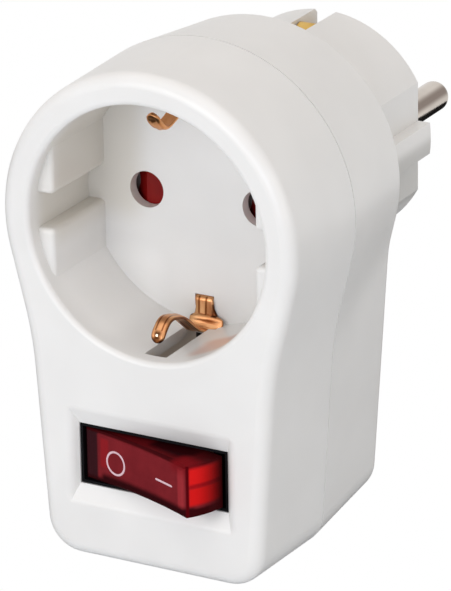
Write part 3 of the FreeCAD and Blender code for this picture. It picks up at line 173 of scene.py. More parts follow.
def soft_boxes(tree, place, base, parts):
    """Paints boxes with soft edges over a base colour.

    Each part is (middle, half size, softness, colour) in the units of place. A point's distance
    to a box is the length of max(|point - middle| - half size, 0); the colour fades over the
    softness.
    """
    colour = base
    for middle, half_size, softness, shade in parts:
        offset = add_node(tree, "ShaderNodeVectorMath", {"operation": "SUBTRACT"},
                          {0: place, 1: middle})
        folded = add_node(tree, "ShaderNodeVectorMath", {"operation": "ABSOLUTE"},
                          {0: offset.outputs[0]})
        beyond = add_node(tree, "ShaderNodeVectorMath", {"operation": "SUBTRACT"},
                          {0: folded.outputs[0], 1: half_size})
        outside = add_node(tree, "ShaderNodeVectorMath", {"operation": "MAXIMUM"},
                           {0: beyond.outputs[0], 1: (0, 0, 0)})
        distance = add_node(tree, "ShaderNodeVectorMath", {"operation": "LENGTH"},
                            {0: outside.outputs[0]})
        cover = add_node(tree, "ShaderNodeMapRange", {"interpolation_type": "SMOOTHSTEP"}, {
            "Value": distance.outputs["Value"], "From Max": softness, "To Min": 1.0,
            "To Max": 0.0})
        mixed = add_node(tree, "ShaderNodeMix", {"data_type": "RGBA"}, {
            0: cover.outputs["Result"], 6: colour, 7: linear(shade)})
        colour = mixed.outputs[2]
    return colour


def paint_light_and_shade(tree, shader, base, parts, socket="Base Color", folded=True):
    """Paints light and shade as soft boxes over a colour, in millimetres, and links it to a socket.

    A folded place is (|x|, |y|, |z|), so that one box paints alike on both sides.
    """
    place = add_node(tree, "ShaderNodeTexCoord")
    in_mm = add_node(tree, "ShaderNodeVectorMath", {"operation": "SCALE"},
                     {0: place.outputs["Object"], "Scale": 1 / MM})
    if folded:
        in_mm = add_node(tree, "ShaderNodeVectorMath", {"operation": "ABSOLUTE"},
                         {0: in_mm.outputs[0]})
    painted = soft_boxes(tree, in_mm.outputs[0], base, parts)
    tree.links.new(painted, shader.inputs[socket])
    return painted


def plain_finish(name, colour_a, colour_b, patch_mm, grain_mm, height_mm, stretch=(1, 1, 1),
                 **shader_values):
    """A material of two close colours with a fine grain and nothing else on it."""
    material, tree, shader = new_material(name, **shader_values)
    mottle(tree, shader, colour_a, colour_b, patch_mm)
    surface_grain(tree, shader, grain_mm, height_mm, stretch)
    print("material", material.name)
    return material

# %% [markdown]
# The casing is urea or ABS, moulded in a polished tool. That leaves an even white with a soft
# gloss: the wall of the well faintly mirrors the clip. Its grain is about 0.5 mm across and only
# a few microns deep. In the photograph the well's left wall looks warm from light that bounced
# several times, its low wall is paler, the copper clip throws a pink glare beside its foot, and
# the plug's right side is duller. Light passes through such thin white walls, so the hollow inside
# isn't black: its faces glow faintly and warmly, which shows in the slot under the clip. This
# light and shade is painted at its places, since the lamps of that studio aren't known well
# enough: painted shade on the left wall and the plug's side, painted light on the low wall, a
# painted reflection for the glare, and a painted glow given off as a faint warm emission inside.

# %% Moulded white casing
# Each row of the tables of painted light and shade is (middle, half size, softness, colour),
# in millimetres
# A painted glow, given off as emission by the faces of the casing's hollows
PAINTED_INNER_GLOW = [  # the hollow behind the well, and the one below it
    ((0, -27, -34), (16.9, 10.4, 17), 0.6, "#E6D2C2"),
    ((0, -45, -37), (16.9, 7.0, 15.2), 0.6, "#E6D2C2"),
]
# Painted shade, painted light and a painted reflection of the clip's glare on the white
PAINTED_LIGHT_ON_WHITE = [  # the well's left wall, its low wall, the clip's glare, and the plug's right side
    ((-17, -46.5, 7), (4, 5.5, 9), 5.0, "#DAD5CC"),
    ((-13, -47, -15), (3, 5.5, 3), 5.0, "#F3F1EE"),
    ((8.0, -50.6, -17.9), (1.8, 2.2, 0.8), 2.6, "#D8BDB2"),
    ((17.6, -9.5, -5), (2.0, 9.5, 4), 2.0, "#D0CECA"),
]
# Subsurface light travels about 2 mm in the plastic, which softens its edges
moulded_white, tree, shader = new_material(
    "moulded_white_abs", Roughness=0.3, IOR=1.5, Subsurface_Weight=0.1, Subsurface_Scale=0.002,
    Emission_Strength=0.09)
shader.inputs["Subsurface Radius"].default_value = (1.0, 0.9, 0.8)
white = mottle(tree, shader, "#E4E2DF", "#E8E6E3", patch_mm=14)
paint_light_and_shade(tree, shader, white, PAINTED_LIGHT_ON_WHITE, folded=False)
paint_light_and_shade(tree, shader, (0, 0, 0, 1), PAINTED_INNER_GLOW, "Emission Color", folded=False)
surface_grain(tree, shader, grain_mm=0.5, height_mm=0.003)
print("material", moulded_white.name)

# %% [markdown]
# The pins are turned brass with bright nickel on top. A metal needs a sharp highlight and a dark
# reflection, and fine turning lines run round it. A painted dark reflection runs as a duller band
# along each pin's outer side.

# %% Nickel plated pins
# A painted dark reflection, as a duller band along each pin's outer side
PAINTED_PIN_REFLECTION = [  # folded, so both pins have it, above and below the middle
    ((11.4, 12.0, 1.3), (0.2, 14.0, 0.2), 1.0, "#8F8178"),
]
nickel_plate, tree, shader = new_material("nickel_plated_brass", Metallic=1.0, Roughness=0.12)
nickel = mottle(tree, shader, "#D2C8BE", "#DCD2C8", patch_mm=5)
paint_light_and_shade(tree, shader, nickel, PAINTED_PIN_REFLECTION)
surface_grain(tree, shader, grain_mm=0.25, height_mm=0.0012, stretch=(1, 30, 1))
print("material", nickel_plate.name)

# %% [markdown]
# The earth clips are stamped from phosphor bronze, and the other contacts from brass. Both are
# rolled strip, so they have soft lines along the strip and slow stains from handling. Painted
# shade follows the clips' grooves as two dark lines and shows again on the tab. The lower clip's
# tip has painted shade round a painted highlight on its pip. The upper clip hangs in the bright
# part of the well, and painted light makes it more golden. This light and shade is painted at its
# places, since a random pattern wouldn't put it where the eye expects it.

# %% Rolled bronze and brass
# Painted shade: folded, in the two grooves, then on the tab's middle and its sides
BRONZE_PAINTED_SHADE = [  # folded: two grooves, then the tab's middle and its sides
    ((0.52, 48.6, 17.0), (0.03, 5.2, 4.0), 0.16, "#7C4828"),
    ((1.15, 48.6, 17.0), (0.02, 6.0, 4.0), 0.14, "#7E4E2E"),
    ((0.6, 40.3, 16.6), (0.05, 0.8, 1.2), 0.22, "#7A4422"),
    ((2.0, 40.3, 17.3), (0.3, 0.6, 0.9), 0.3, "#5A3018"),
]
# Not folded: painted shade on the lower clip's edge and round its pip, a painted highlight on
# the pip, and painted light over the whole upper clip
CLIP_PAINTED_LIGHT_AND_SHADE = [
    ((0, -54.3, -17.6), (1.2, 0.3, 0.3), 0.7, "#4E2810"),
    ((0, -54.2, -16.6), (0.2, 0.3, 0.3), 0.6, "#4A2A14"),
    ((0, -54.25, -16.5), (0.12, 0.3, 0.14), 0.1, "#FFE4C8"),
    ((0, -50.0, 16.5), (2.5, 6.5, 4.0), 1.0, "#F2AC72"),
]
rolled_bronze, tree, shader = new_material("rolled_phosphor_bronze", Metallic=1.0, Roughness=0.32)
bronze = mottle(tree, shader, "#C98A5C", "#DDA878", patch_mm=3)
striped = paint_light_and_shade(tree, shader, bronze, BRONZE_PAINTED_SHADE)
paint_light_and_shade(tree, shader, striped, CLIP_PAINTED_LIGHT_AND_SHADE, folded=False)
surface_grain(tree, shader, grain_mm=0.3, height_mm=0.004, stretch=(12, 1, 1))
print("material", rolled_bronze.name)

# Yellow, with rolling lines along the strip and a blurred gloss
rolled_brass = plain_finish(
    "rolled_brass", "#C8A050", "#D8B468", patch_mm=3, grain_mm=0.3, height_mm=0.003,
    stretch=(12, 1, 1), Metallic=1.0, Roughness=0.3)

# %% [markdown]
# The switch has a black nylon housing with a slight sheen, and behind the pin holes is a plain
# red shutter. The carrier inside is light grey. Moulded nylon is even and only a little glossy, so
# two close colours and a fine grain are enough, and one function makes all such plain finishes.

# %% Switch and shutter plastics
# Nearly black: its edges show only as faint grey lines
black_nylon = plain_finish(
    "moulded_black_nylon", "#0B0B0D", "#131316", patch_mm=6, grain_mm=0.3, height_mm=0.004,
    Roughness=0.35, IOR=1.53, Specular_IOR_Level=0.25)
# A deep red, darkened as painted shade for the shade of the holes, with hardly a reflection
red_shutter = plain_finish(
    "moulded_red_nylon", "#7C100E", "#8C1412", patch_mm=5, grain_mm=0.4, height_mm=0.004,
    Roughness=0.38, IOR=1.53, Specular_IOR_Level=0.2)
# Matt and slightly warm, as an inner part that nobody polished
grey_carrier = plain_finish(
    "moulded_grey_nylon", "#C9C6BF", "#D2CFC8", patch_mm=6, grain_mm=0.4, height_mm=0.005,
    Roughness=0.5, IOR=1.53)

# %% [markdown]
# The rocker is clear red polycarbonate. The eye looks into it: where a rib or a wall stands
# behind the face the red turns nearly black, and where the lamp's light finds a free way it
# glows. This shade and light is painted into its colour, which is also given off as a faint
# emission for the glow. It is painted in the rocker's own frame, in millimetres from its pivot:
# X along the rocker, Y to the rear and Z up. A thin clear coat is all that mirrors on it.

# %% Clear red rocker
ROCKER_PIVOT = (0, -0.05462, -0.0368)
ROCKER_TILT = math.radians(-18)
PAINTED_RED_LIGHT_AND_SHADE = [  # rows as before, in the rocker's own frame
    # Painted shade on the top side; on the face, painted shade at the left end, painted bright
    # bars left and by the ridge, and painted shade along the low edges
    ((0, -0.5, 4.3), (12.0, 3.6, 0.3), 0.5, "#4C0C10"),
    ((-10.0, -4.8, 0), (1.4, 0.8, 4.0), 0.5, "#301519"),
    ((-6.95, -4.5, 0.9), (0.5, 0.6, 2.0), 0.6, "#7E1C21"),
    ((9.9, -4.9, 0.3), (0.35, 0.6, 2.9), 0.6, "#8A2A2F"),
    ((2.0, -4.6, -3.75), (9.0, 0.9, 0.7), 1.1, "#2A0A0D"),
    ((-9.0, -4.7, -4.1), (2.5, 0.9, 0.5), 0.8, "#2A0A0D"),
    # A painted dark line along the face's upper edge, and a painted dark and a painted bright
    # patch on the top side
    ((0, -4.6, 4.0), (11.2, 0.9, 0.12), 0.2, "#3A080C"),
    ((4.6, -0.7, 4.2), (3.2, 1.2, 0.3), 1.6, "#240407"),
    ((9.6, -3.2, 4.2), (0.9, 0.6, 0.3), 2.2, "#6E1016"),
    # Right end: two windows of painted light, painted shade for the rib between them, the painted
    # fade to the rear, and painted shade at the low edge and ridge
    ((11.5, -1.0, 2.2), (0.5, 2.8, 1.0), 0.8, "#CA1B1B"),
    ((11.5, -1.0, -0.9), (0.5, 2.8, 1.0), 0.8, "#C41919"),
    ((11.5, -1.0, 0.75), (0.5, 2.8, 0.05), 0.5, "#981218"),
    ((11.6, 3.25, 0), (0.7, 0.9, 4.2), 6.0, "#2A080A"),
    ((11.5, -1.0, -3.6), (0.6, 4.0, 0.5), 0.5, "#32090C"),
    ((11.05, -4.6, 0), (0.15, 0.35, 4.2), 0.25, "#4C060C"),
]
clear_red, tree, shader = new_material(
    "clear_red_polycarbonate", Roughness=0.25, IOR=1.58, Specular_IOR_Level=0.0,
    Coat_Weight=0.03, Coat_Roughness=0.05, Emission_Strength=0.12)
place = add_node(tree, "ShaderNodeTexCoord")
own_frame = add_node(tree, "ShaderNodeMapping", {"vector_type": "TEXTURE"}, {
    "Vector": place.outputs["Object"], "Location": ROCKER_PIVOT, "Rotation": (0, 0, ROCKER_TILT),
    "Scale": (MM, MM, MM)})
# 0.35 per mm gives clouds in the red that are about 3 mm wide
cloud = add_node(tree, "ShaderNodeTexNoise", inputs={
    "Vector": own_frame.outputs["Vector"], "Scale": 0.35, "Detail": 2.0})
depth = add_node(tree, "ShaderNodeValToRGB", inputs={"Fac": cloud.outputs["Fac"]})
depth.color_ramp.elements[0].position, depth.color_ramp.elements[1].position = 0.3, 0.7
depth.color_ramp.elements[0].color = linear("#661D22")
depth.color_ramp.elements[1].color = linear("#722126")
glow = soft_boxes(tree, own_frame.outputs["Vector"], depth.outputs["Color"], PAINTED_RED_LIGHT_AND_SHADE)
tree.links.new(glow, shader.inputs["Base Color"])
# The painted light and shade is also given off as a faint emission
tree.links.new(glow, shader.inputs["Emission Color"])
print("material", clear_red.name)

# Thin white ink that lets some of the red through
mark_ink = plain_finish(
    "pad_printed_white_ink", "#D2AEB6", "#DEBEC6", patch_mm=0.6, grain_mm=0.1, height_mm=0.002,
    Roughness=0.5, IOR=1.5)

# %% [markdown]
# The small hidden parts get true finishes too: zinc plated screws, spring wire, soft PVC sheaths,
# a clear glass lamp and a lacquered resistor. The screws' heads sit deep in their wells, and the
# rest shows only when the shells are taken apart. So the plain finish serves them as well, with
# each one's own gloss and grain.

# %% Hidden parts
# A cool grey that is duller than nickel
zinc_plate = plain_finish(
    "zinc_plated_steel", "#A9ABAE", "#BCBEC0", patch_mm=2, grain_mm=0.2, height_mm=0.003,
    Metallic=1.0, Roughness=0.33)
# Grey wire with drawing lines along it
spring_wire = plain_finish(
    "drawn_spring_steel", "#8F9194", "#A2A4A7", patch_mm=2, grain_mm=0.2, height_mm=0.003,
    stretch=(8, 1, 1), Metallic=1.0, Roughness=0.28)
# Soft sheaths with a broad, weak gloss
brown_sheath = plain_finish(
    "extruded_brown_pvc", "#4A2A18", "#553220", patch_mm=4, grain_mm=0.5, height_mm=0.008,
    Roughness=0.45, IOR=1.53)
black_sheath = plain_finish(
    "extruded_black_pvc", "#141416", "#1E1E20", patch_mm=4, grain_mm=0.5, height_mm=0.008,
    Roughness=0.45, IOR=1.53)
# Clear, with the slow waves of blown glass and a warm tinge
lamp_glass = plain_finish(
    "blown_lamp_glass", "#F4D8C8", "#F8E4D8", patch_mm=2, grain_mm=0.8, height_mm=0.006,
    Roughness=0.04, IOR=1.5, Transmission_Weight=0.9)
# Sandy beige, with the small dents of a dipped coat
lacquer = plain_finish(
    "lacquered_resistor", "#B59A6C", "#C2A87A", patch_mm=1.5, grain_mm=0.3, height_mm=0.01,
    Roughness=0.4, IOR=1.5)

# %% [markdown]
# A CAD node keeps its shape, and takes its finish through its object's material slots. The nodes
# that a more detailed piece stands for further down get theirs as well, so that none is left bare.

# %% A finish for each CAD node
FINISHES = {
    moulded_white: ["front_casing", "rear_casing"],
    nickel_plate: ["plug_pin_left", "plug_pin_right"],
    rolled_bronze: ["socket_earth_strap"],
    rolled_brass: ["plug_earth_strap", "earth_post", "socket_contact_left",
                   "socket_contact_right", "neutral_link", "feed_lug", "contact_lever",
                   "terminal_feed", "terminal_load", "terminal_lamp"],
    black_nylon: ["switch_housing", "switch_plunger"],
    red_shutter: ["shutter_slide"],
    clear_red: ["switch_rocker"],
    grey_carrier: ["contact_carrier"],
    zinc_plate: ["casing_screws"],
    spring_wire: ["shutter_spring", "plunger_spring"],
    brown_sheath: ["wire_feed"],
    black_sheath: ["wire_outlet", "wire_lamp"],
    lamp_glass: ["neon_lamp"],
    lacquer: ["lamp_resistor"],
}
for finish, names in FINISHES.items():
    for name in names:
        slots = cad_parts[name].data.materials
        slots.clear()
        slots.append(finish)
print("finished nodes:", sum(len(names) for names in FINISHES.values()))

# %% [markdown]
# New pieces are grids of points worked out as whole arrays. One function turns a grid into a
# closed mesh: it wraps round the second direction and closes both ends with a flat face.

# %% Mesh from a grid
def closed_tube(name, grid, material, closed_rows=False):
    """Joins rings of points, shape (rings, points, 3) in metres, to a closed smooth object.

    With closed_rows the last ring joins the first one again, as in a torus. Otherwise one face
    closes each end. Faces point outward when the rings run anticlockwise round the way onward.
    """
    rings, points = grid.shape[:2]
    row = np.arange(rings if closed_rows else rings - 1)[:, None]
    column = np.arange(points)[None, :]
    next_row, next_column = (row + 1) % rings, (column + 1) % points
    quads = np.stack([row * points + column, row * points + next_column,
                      next_row * points + next_column, next_row * points + column], axis=-1)
    faces = quads.reshape(-1, 4).tolist()
    if not closed_rows:
        faces.append(list(range(points - 1, -1, -1)))
        faces.append(list(range((rings - 1) * points, rings * points)))
    mesh = bpy.data.meshes.new(name)
    mesh.from_pydata(grid.reshape(-1, 3).tolist(), [], faces)
    mesh.polygons.foreach_set("use_smooth", np.ones(len(mesh.polygons), dtype=bool))
    mesh.materials.append(material)
    made = bpy.data.objects.new(name, mesh)
    bpy.context.collection.objects.link(made)
    print(name, len(mesh.polygons), "faces")
    return made


CORNER_SHARE = 0.3  # how far before and after a corner its rounding reaches, in counted corners


def bent_line(corners, cuts, samples=9, between=7):
    """A line through corners, each corner rounded by a quadratic Bezier curve.

    The curve starts and ends one cut away from the corner: (1-t)^2 A + 2t(1-t) C + t^2 B. The
    second result counts corners along the line, so that other values can be spread along it.
    """
    corners = np.asarray(corners, dtype=float)
    ways = np.diff(corners, axis=0)
    ways /= np.linalg.norm(ways, axis=1)[:, None]
    t = np.linspace(0, 1, samples)[:, None]
    places, counts = [corners[:1]], [np.zeros(1)]
    for index in range(1, len(corners) - 1):
        corner, cut = corners[index], cuts[index]
        enter, leave = corner - ways[index - 1] * cut, corner + ways[index] * cut
        straight = np.linspace(0, 1, between)[1:-1, None]
        places.append(places[-1][-1] * (1 - straight) + enter * straight)
        nearly = index - CORNER_SHARE
        counts.append(counts[-1][-1] + (nearly - counts[-1][-1]) * straight[:, 0])
        places.append(enter * (1 - t) ** 2 + corner * 2 * t * (1 - t) + leave * t ** 2)
        counts.append(nearly + 2 * CORNER_SHARE * t[:, 0])
    straight = np.linspace(0, 1, between * 3)[1:, None]
    places.append(places[-1][-1] * (1 - straight) + corners[-1] * straight)
    counts.append(counts[-1][-1] + (len(corners) - 1 - counts[-1][-1]) * straight[:, 0])
    return np.concatenate(places), np.concatenate(counts)

# %% [markdown]
# The socket's earth strap is one stamped and bent strip. Seen in the well from the floor outward:
# a tab that flares, a bright collar, a scoop that narrows to the spring, a hump with two rolled
# grooves, and a rounded tip with a small pressed pip. One half is drawn along its middle line and
# mirrored for the other. In the photograph the foot of the clip stands a little to the right. A
# profile carried along a path suits it: the table gives the path's corners with the width, crown
# and grooves at each, and everything between them is worked out from the way along the line.

# %% Bent strip with a changing section
SHEET_HALF, SECTION_POINTS = 0.3, 44  # half the sheet's thickness, and points round a section
SIDE_POWER, FACE_POWER = 0.45, 0.6  # below 1 they square a circle off to a rounded oblong
GROOVE_PLACE, GROOVE_WIDTH = 0.45, 0.14  # as shares of the half width
TIP_RADIUS, NARROWEST = 1.1, 0.985  # where the tip starts to round, and how far it closes
PIP_FROM_TIP, PIP_HEIGHT, PIP_WIDTH = 1.2, 0.16, 0.2
RING_RADIUS, RING_DEPTH, RING_WIDTH = 0.45, 0.08, 0.15  # the hollow that is pressed round a pip


def powered(wave, power):
    """sign(wave) * |wave|^power, which keeps the sign of a sine or cosine."""
    return np.sign(wave) * np.abs(wave) ** power


def bell(distance, width):
    """exp(-(distance / width)^2), a smooth bump that is 1 in its middle."""
    return np.exp(-(distance / width) ** 2)


def pressed_strip(name, corners, material):
    """Carries a strip's section along a bent line and its mirror image in z, in millimetres.

    Round the section x is the half width * cos(a)^0.45 and the height half the thickness *
    sin(a)^0.6. The face rises by crown * (1 - share^2), where share is x over the half width, and
    sinks by groove * bell at each groove's place. The tip closes like a circle, sqrt(1 - d^2) with
    d the share of its radius. A bell makes the pip, and a ring of it the hollow round it.
    """
    line, count = bent_line(corners[:, :2], corners[:, 2])
    half_width, crown, groove, shift = [
        np.interp(count, np.arange(len(corners)), corners[:, column]) for column in (3, 4, 5, 6)]
    step = np.linalg.norm(np.diff(line, axis=0), axis=1)
    to_tip = step.sum() - np.concatenate([[0], np.cumsum(step)])
    half_width *= np.sqrt(np.clip(1 - np.clip(1 - to_tip / TIP_RADIUS, 0, NARROWEST) ** 2, 0, 1))
    crown *= half_width / corners[-2, 3]
    line_full = np.concatenate([line[::-1], line[1:] * (1, -1)])
    half_width, crown, groove, shift, to_tip = [
        np.concatenate([values[::-1], values[1:]])[:, None]
        for values in (half_width, crown, groove, shift, to_tip)]
    way = np.gradient(line_full, axis=0)
    way /= np.linalg.norm(way, axis=1)[:, None]
    # The normal points to the inside of the well, on the side that a visiting plug rubs
    normal = np.stack([way[:, 1], -way[:, 0]], axis=1)
    angle = np.linspace(0, 2 * np.pi, SECTION_POINTS, endpoint=False)
    height = powered(np.sin(angle), FACE_POWER)
    x = half_width * powered(np.cos(angle), SIDE_POWER)
    share = x / np.maximum(half_width, 1e-6)
    lift = crown * (1 - share ** 2)
    dent = groove * bell(np.abs(share) - GROOVE_PLACE, GROOVE_WIDTH)
    to_pip = np.hypot(to_tip - PIP_FROM_TIP, x)
    pip = PIP_HEIGHT * bell(to_pip, PIP_WIDTH) - RING_DEPTH * bell(to_pip - RING_RADIUS, RING_WIDTH)
    aside = SHEET_HALF * height + lift + np.where(height > 0, pip - dent, -dent / 2)
    grid = np.stack([x + shift, line_full[:, :1] + normal[:, :1] * aside,
                     line_full[:, 1:] + normal[:, 1:] * aside], axis=-1) * MM
    return closed_tube(name, grid, material)

# %% Socket earth strap with its two clips
STRAP_CORNERS = [  # (y, z from the middle, bend cut, half width, crown, groove, x), in mm
    (-32.7, 0.0, 0.0, 2.9, 0.00, 0.0, 0.0),
    (-32.7, 15.5, 0.9, 1.5, 0.00, 0.0, 0.0),
    (-40.3, 15.5, 0.45, 1.5, 0.00, 0.0, 0.08),
    (-40.3, 17.0, 0.5, 1.55, 0.10, 0.06, 0.25),
    (-40.3, 18.2, 0.25, 2.0, 0.15, 0.06, 0.45),
    (-40.8, 18.45, 0.2, 2.8, 0.10, 0.0, 0.75),
    (-41.0, 19.3, 0.5, 2.85, 0.05, 0.0, 0.75),
    (-41.9, 20.3, 0.7, 1.9, 0.10, 0.0, 0.45),
    (-43.8, 19.3, 0.5, 1.35, 0.20, 0.06, 0.25),
    (-48.1, 15.75, 1.6, 1.15, 0.25, 0.12, 0.0),
    (-51.9, 14.75, 1.3, 1.15, 0.30, 0.12, 0.0),
    (-53.8, 16.4, 0.6, 1.15, 0.25, 0.10, 0.0),
    (-54.45, 17.75, 0.0, 1.05, 0.15, 0.0, 0.0),
]
strap = pressed_strip("pressed_earth_strap", np.array(STRAP_CORNERS), rolled_bronze)
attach(strap, "casing")
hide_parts("socket_earth_strap")

# %% [markdown]
# The CAD model keeps the room of the two coil springs as plain sleeves. Here each is drawn as
# wound wire: one returns the shutter, and a short one presses the plunger on the contact lever.
# Screw could wind a circle, but a helix worked out as an array also gives the closed turns at both
# ends, on which a real spring stands flat.

# %% Wound wire
STEPS_PER_TURN, WIRE_POINTS = 24, 10


def coil_spring(name, start, end, radius, wire_radius, turns, material):
    """Wire along a helix from start to end in metres, its first and last turns wound closed.

    The wire's middle goes round at radius while it moves on by the pitch; in the closed turns it
    moves on by one wire only. A circle of the wire's radius stands on that line.
    """
    start, end = Vector(start), Vector(end)
    way = (end - start).normalized()
    side = way.orthogonal().normalized()
    way, side, other = np.array(way), np.array(side), np.array(way.cross(side))
    count = np.linspace(0, turns, turns * STEPS_PER_TURN + 1)
    closed, room = 2 * wire_radius, (end - start).length - 2 * wire_radius
    moved = np.interp(count, [0, 1, turns - 1, turns], [0, closed, room - closed, room])
    round_way = 2 * np.pi * count[:, None]
    outward = np.cos(round_way) * side + np.sin(round_way) * other
    middle = np.array(start) + (moved[:, None] + wire_radius) * way + radius * outward
    ring = np.linspace(0, 2 * np.pi, WIRE_POINTS, endpoint=False)[None, :, None]
    grid = middle[:, None] + wire_radius * (
        np.cos(ring) * way + np.sin(ring) * outward[:, None])
    return closed_tube(name, grid, material)

# %% Return spring of the shutter
SHUTTER_WIRE_RADIUS, SHUTTER_TURNS = 0.16 * MM, 15
low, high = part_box("shutter_spring")
middle_y, middle_z = (low[1] + high[1]) / 2, (low[2] + high[2]) / 2
return_coil = coil_spring(
    "shutter_coil", (low[0], middle_y, middle_z), (high[0], middle_y, middle_z),
    (high[2] - low[2]) / 2 - SHUTTER_WIRE_RADIUS, SHUTTER_WIRE_RADIUS, SHUTTER_TURNS, spring_wire)
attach(return_coil, "casing")
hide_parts("shutter_spring")
# The shutter slides by 6 mm towards the spring's fixed right end
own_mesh(return_coil)

# %% Spring of the plunger, in line with the tilted rocker
PLUNGER_HALF_LENGTH, PLUNGER_TURNS = 0.8, 5
PLUNGER_COIL_RADIUS, PLUNGER_WIRE_RADIUS = 0.775 * MM, 0.12 * MM
low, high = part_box("plunger_spring")
middle = (Vector(low) + Vector(high)) / 2
half = Vector((-math.sin(ROCKER_TILT), math.cos(ROCKER_TILT), 0)) * PLUNGER_HALF_LENGTH * MM
plunger_coil = coil_spring("plunger_coil", middle - half, middle + half, PLUNGER_COIL_RADIUS,
                           PLUNGER_WIRE_RADIUS, PLUNGER_TURNS, spring_wire)
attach(plunger_coil, "rocker")
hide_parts("plunger_spring")

# %% [markdown]
# The O and I on the rocker are printed. Text objects could draw them, but they would be flat. Here
# each is a closed ribbon a few hundredths of a millimetre high, worked out on the rocker's hollow
# face, so that it follows the hollow and tilts with it.

# %% Printed marks
CHORD_DEPTH, HOLLOW_DEPTH, FACE_HALF_LENGTH = 4.95, 0.75, 10.65  # the rocker's face, in mm
INK_HALF_HEIGHT, INK_HALF_WIDTH = 0.03, 0.17
RING_POINTS, BAR_POINTS = 96, 40
ribbon = np.linspace(0, 2 * np.pi, 16, endpoint=False)[None, :]


def on_rocker(x, lift, z):
    """Points in the rocker's own frame, lifted off its face, in the common frame in metres.

    The face's depth is its chord's depth less the rise of a shallow parabola in x. Each point is
    then turned by the rocker's tilt and moved to its pivot.
    """
    y = -CHORD_DEPTH + HOLLOW_DEPTH * (1 - (x / FACE_HALF_LENGTH) ** 2) - lift
    cosine, sine = math.cos(ROCKER_TILT), math.sin(ROCKER_TILT)
    turned = np.stack([x * cosine - y * sine, x * sine + y * cosine, z], axis=-1)
    return turned * MM + np.array(ROCKER_PIVOT)


def printed_ring(name, middle_x, middle_z, radius):
    """A flat ring: (radius + half width * cos b) * (cos a, sin a), half height * sin b high."""
    turn = np.linspace(0, 2 * np.pi, RING_POINTS, endpoint=False)[:, None]
    reach = radius + INK_HALF_WIDTH * np.cos(ribbon)
    return closed_tube(name, on_rocker(
        middle_x + reach * np.cos(turn), INK_HALF_HEIGHT * np.sin(ribbon) + 0 * turn,
        middle_z - reach * np.sin(turn)), mark_ink, closed_rows=True)


def printed_bar(name, middle_x, middle_z, half_length):
    """A flat bar: half width * cos b by half height * sin b, closing over its last few percent.

    Along the bar u goes from -1 to 1 as a cosine, and the section shrinks by 1 - |u|^24.
    """
    along = np.cos(np.linspace(np.pi, 0, BAR_POINTS))[:, None]
    taper = np.clip(1 - np.abs(along) ** 24, 0.02, 1)
    return closed_tube(name, on_rocker(
        middle_x + half_length * along + 0 * ribbon, INK_HALF_HEIGHT * np.sin(ribbon) * taper,
        middle_z + INK_HALF_WIDTH * np.cos(ribbon) * taper), mark_ink)


mark_o = printed_ring("mark_o", middle_x=-4.7, middle_z=-0.15, radius=1.78)
mark_i = printed_bar("mark_i", middle_x=5.9, middle_z=0.08, half_length=2.0)
for mark in (mark_o, mark_i):
    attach(mark, "rocker")

# %% [markdown]
# The object stands in a white room on pale paper. To the camera both are plain white, at a
# strength of 1. What mirrors see of them and how much they light the object is set apart from
# that, by the kind of ray, so that the background can be white while the object isn't flooded.

# %% World
def by_ray(tree, seen, glossy, other):
    """A value that differs for camera and clear rays, for mirror rays and for all other rays."""
    rays = add_node(tree, "ShaderNodeLightPath")
    is_seen = add_node(tree, "ShaderNodeMath", {"operation": "MAXIMUM"}, {
        0: rays.outputs["Is Camera Ray"], 1: rays.outputs["Is Transmission Ray"]})
    mirrored = add_node(tree, "ShaderNodeMapRange", inputs={
        "Value": rays.outputs["Is Glossy Ray"], "To Min": other, "To Max": glossy})
    return add_node(tree, "ShaderNodeMapRange", inputs={
        "Value": is_seen.outputs[0], "To Min": mirrored.outputs[0], "To Max": seen}).outputs[0]


world = bpy.data.worlds.new("soft_white_room")
world.use_nodes = True
bpy.context.scene.world = world
tree = world.node_tree
sky = tree.nodes["Background"]
sky.inputs["Color"].default_value = (1, 1, 1, 1)
tree.links.new(by_ray(tree, seen=1.0, glossy=0.85, other=0.46), sky.inputs["Strength"])
print("world", world.name)

# %% [markdown]
# The floor lights the object like cool white paper. In mirrors it is dark, like the edge of a
# studio table, which gives metal its contrast. It ends a little way behind the plug, so that the
# pins show only a narrow dark line.

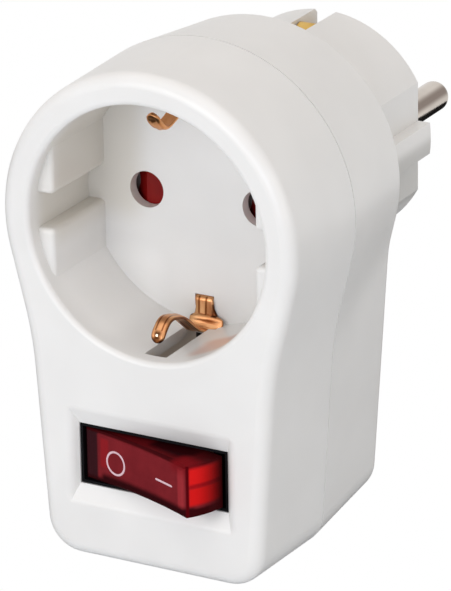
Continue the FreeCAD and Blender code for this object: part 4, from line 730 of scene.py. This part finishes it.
# %% Floor
lowest = cad_box[0][2]
SIDE, BEHIND = 1.5, 0.12
floor_mesh = bpy.data.meshes.new("floor")
floor_mesh.from_pydata([(-SIDE, -SIDE, lowest), (SIDE, -SIDE, lowest), (SIDE, BEHIND, lowest),
                        (-SIDE, BEHIND, lowest)], [], [(0, 1, 2, 3)])
floor = bpy.data.objects.new("floor", floor_mesh)
bpy.context.collection.objects.link(floor)
# Matt paper, with hardly any gloss and a very slow change of tone
floor_paper, tree, shader = new_material(
    "pale_floor_paper", Roughness=0.9, Specular_IOR_Level=0.0, Emission_Color=(1, 1, 1, 1))
paper = mottle(tree, shader, "#F0F5FA", "#F4F8FC", patch_mm=60)
lit = add_node(tree, "ShaderNodeMix", {"data_type": "RGBA"}, {
    0: by_ray(tree, seen=0.0, glossy=0.0, other=1.0), 6: (0, 0, 0, 1), 7: paper})
tree.links.new(lit.outputs[2], shader.inputs["Base Color"])
tree.links.new(by_ray(tree, seen=1.0, glossy=0.02, other=0.0), shader.inputs["Emission Strength"])
floor_mesh.materials.append(floor_paper)
print("floor at", round(lowest / MM, 2), "mm")

# %% [markdown]
# The light is that of a product photograph, from four soft boxes: the key in front and to the
# left, a small low one in front that lifts the foot, a very large one above, and a fill on the
# right. Large boxes far away give the soft shading that white plastic needs to show its form.

# %% Lamps
AIM_MM = (0, -30, -10)


def soft_box(name, place_mm, size_mm, power, colour):
    """A square area lamp of a given size at a place, turned to face the object."""
    data = bpy.data.lights.new(name, "AREA")
    data.color = linear(colour)[:3]
    data.size = size_mm * MM
    data.energy = power
    lamp = bpy.data.objects.new(name, data)
    lamp.location = Vector(place_mm) * MM
    way = Vector(AIM_MM) - Vector(place_mm)
    lamp.rotation_euler = way.to_track_quat("-Z", "Y").to_euler()
    bpy.context.collection.objects.link(lamp)
    print("lamp", name, power, "W")


soft_box("key_soft_box", (-220, -850, 200), size_mm=500, power=2.3, colour="#FCFDFF")
soft_box("low_front_fill", (280, -850, 110), size_mm=300, power=1.1, colour="#E6EFFF")
soft_box("top_soft_box", (0, -140, 850), size_mm=1300, power=4.1, colour="#FFF8F4")
soft_box("right_fill", (800, -250, 220), size_mm=600, power=1.15, colour="#FFFAF5")
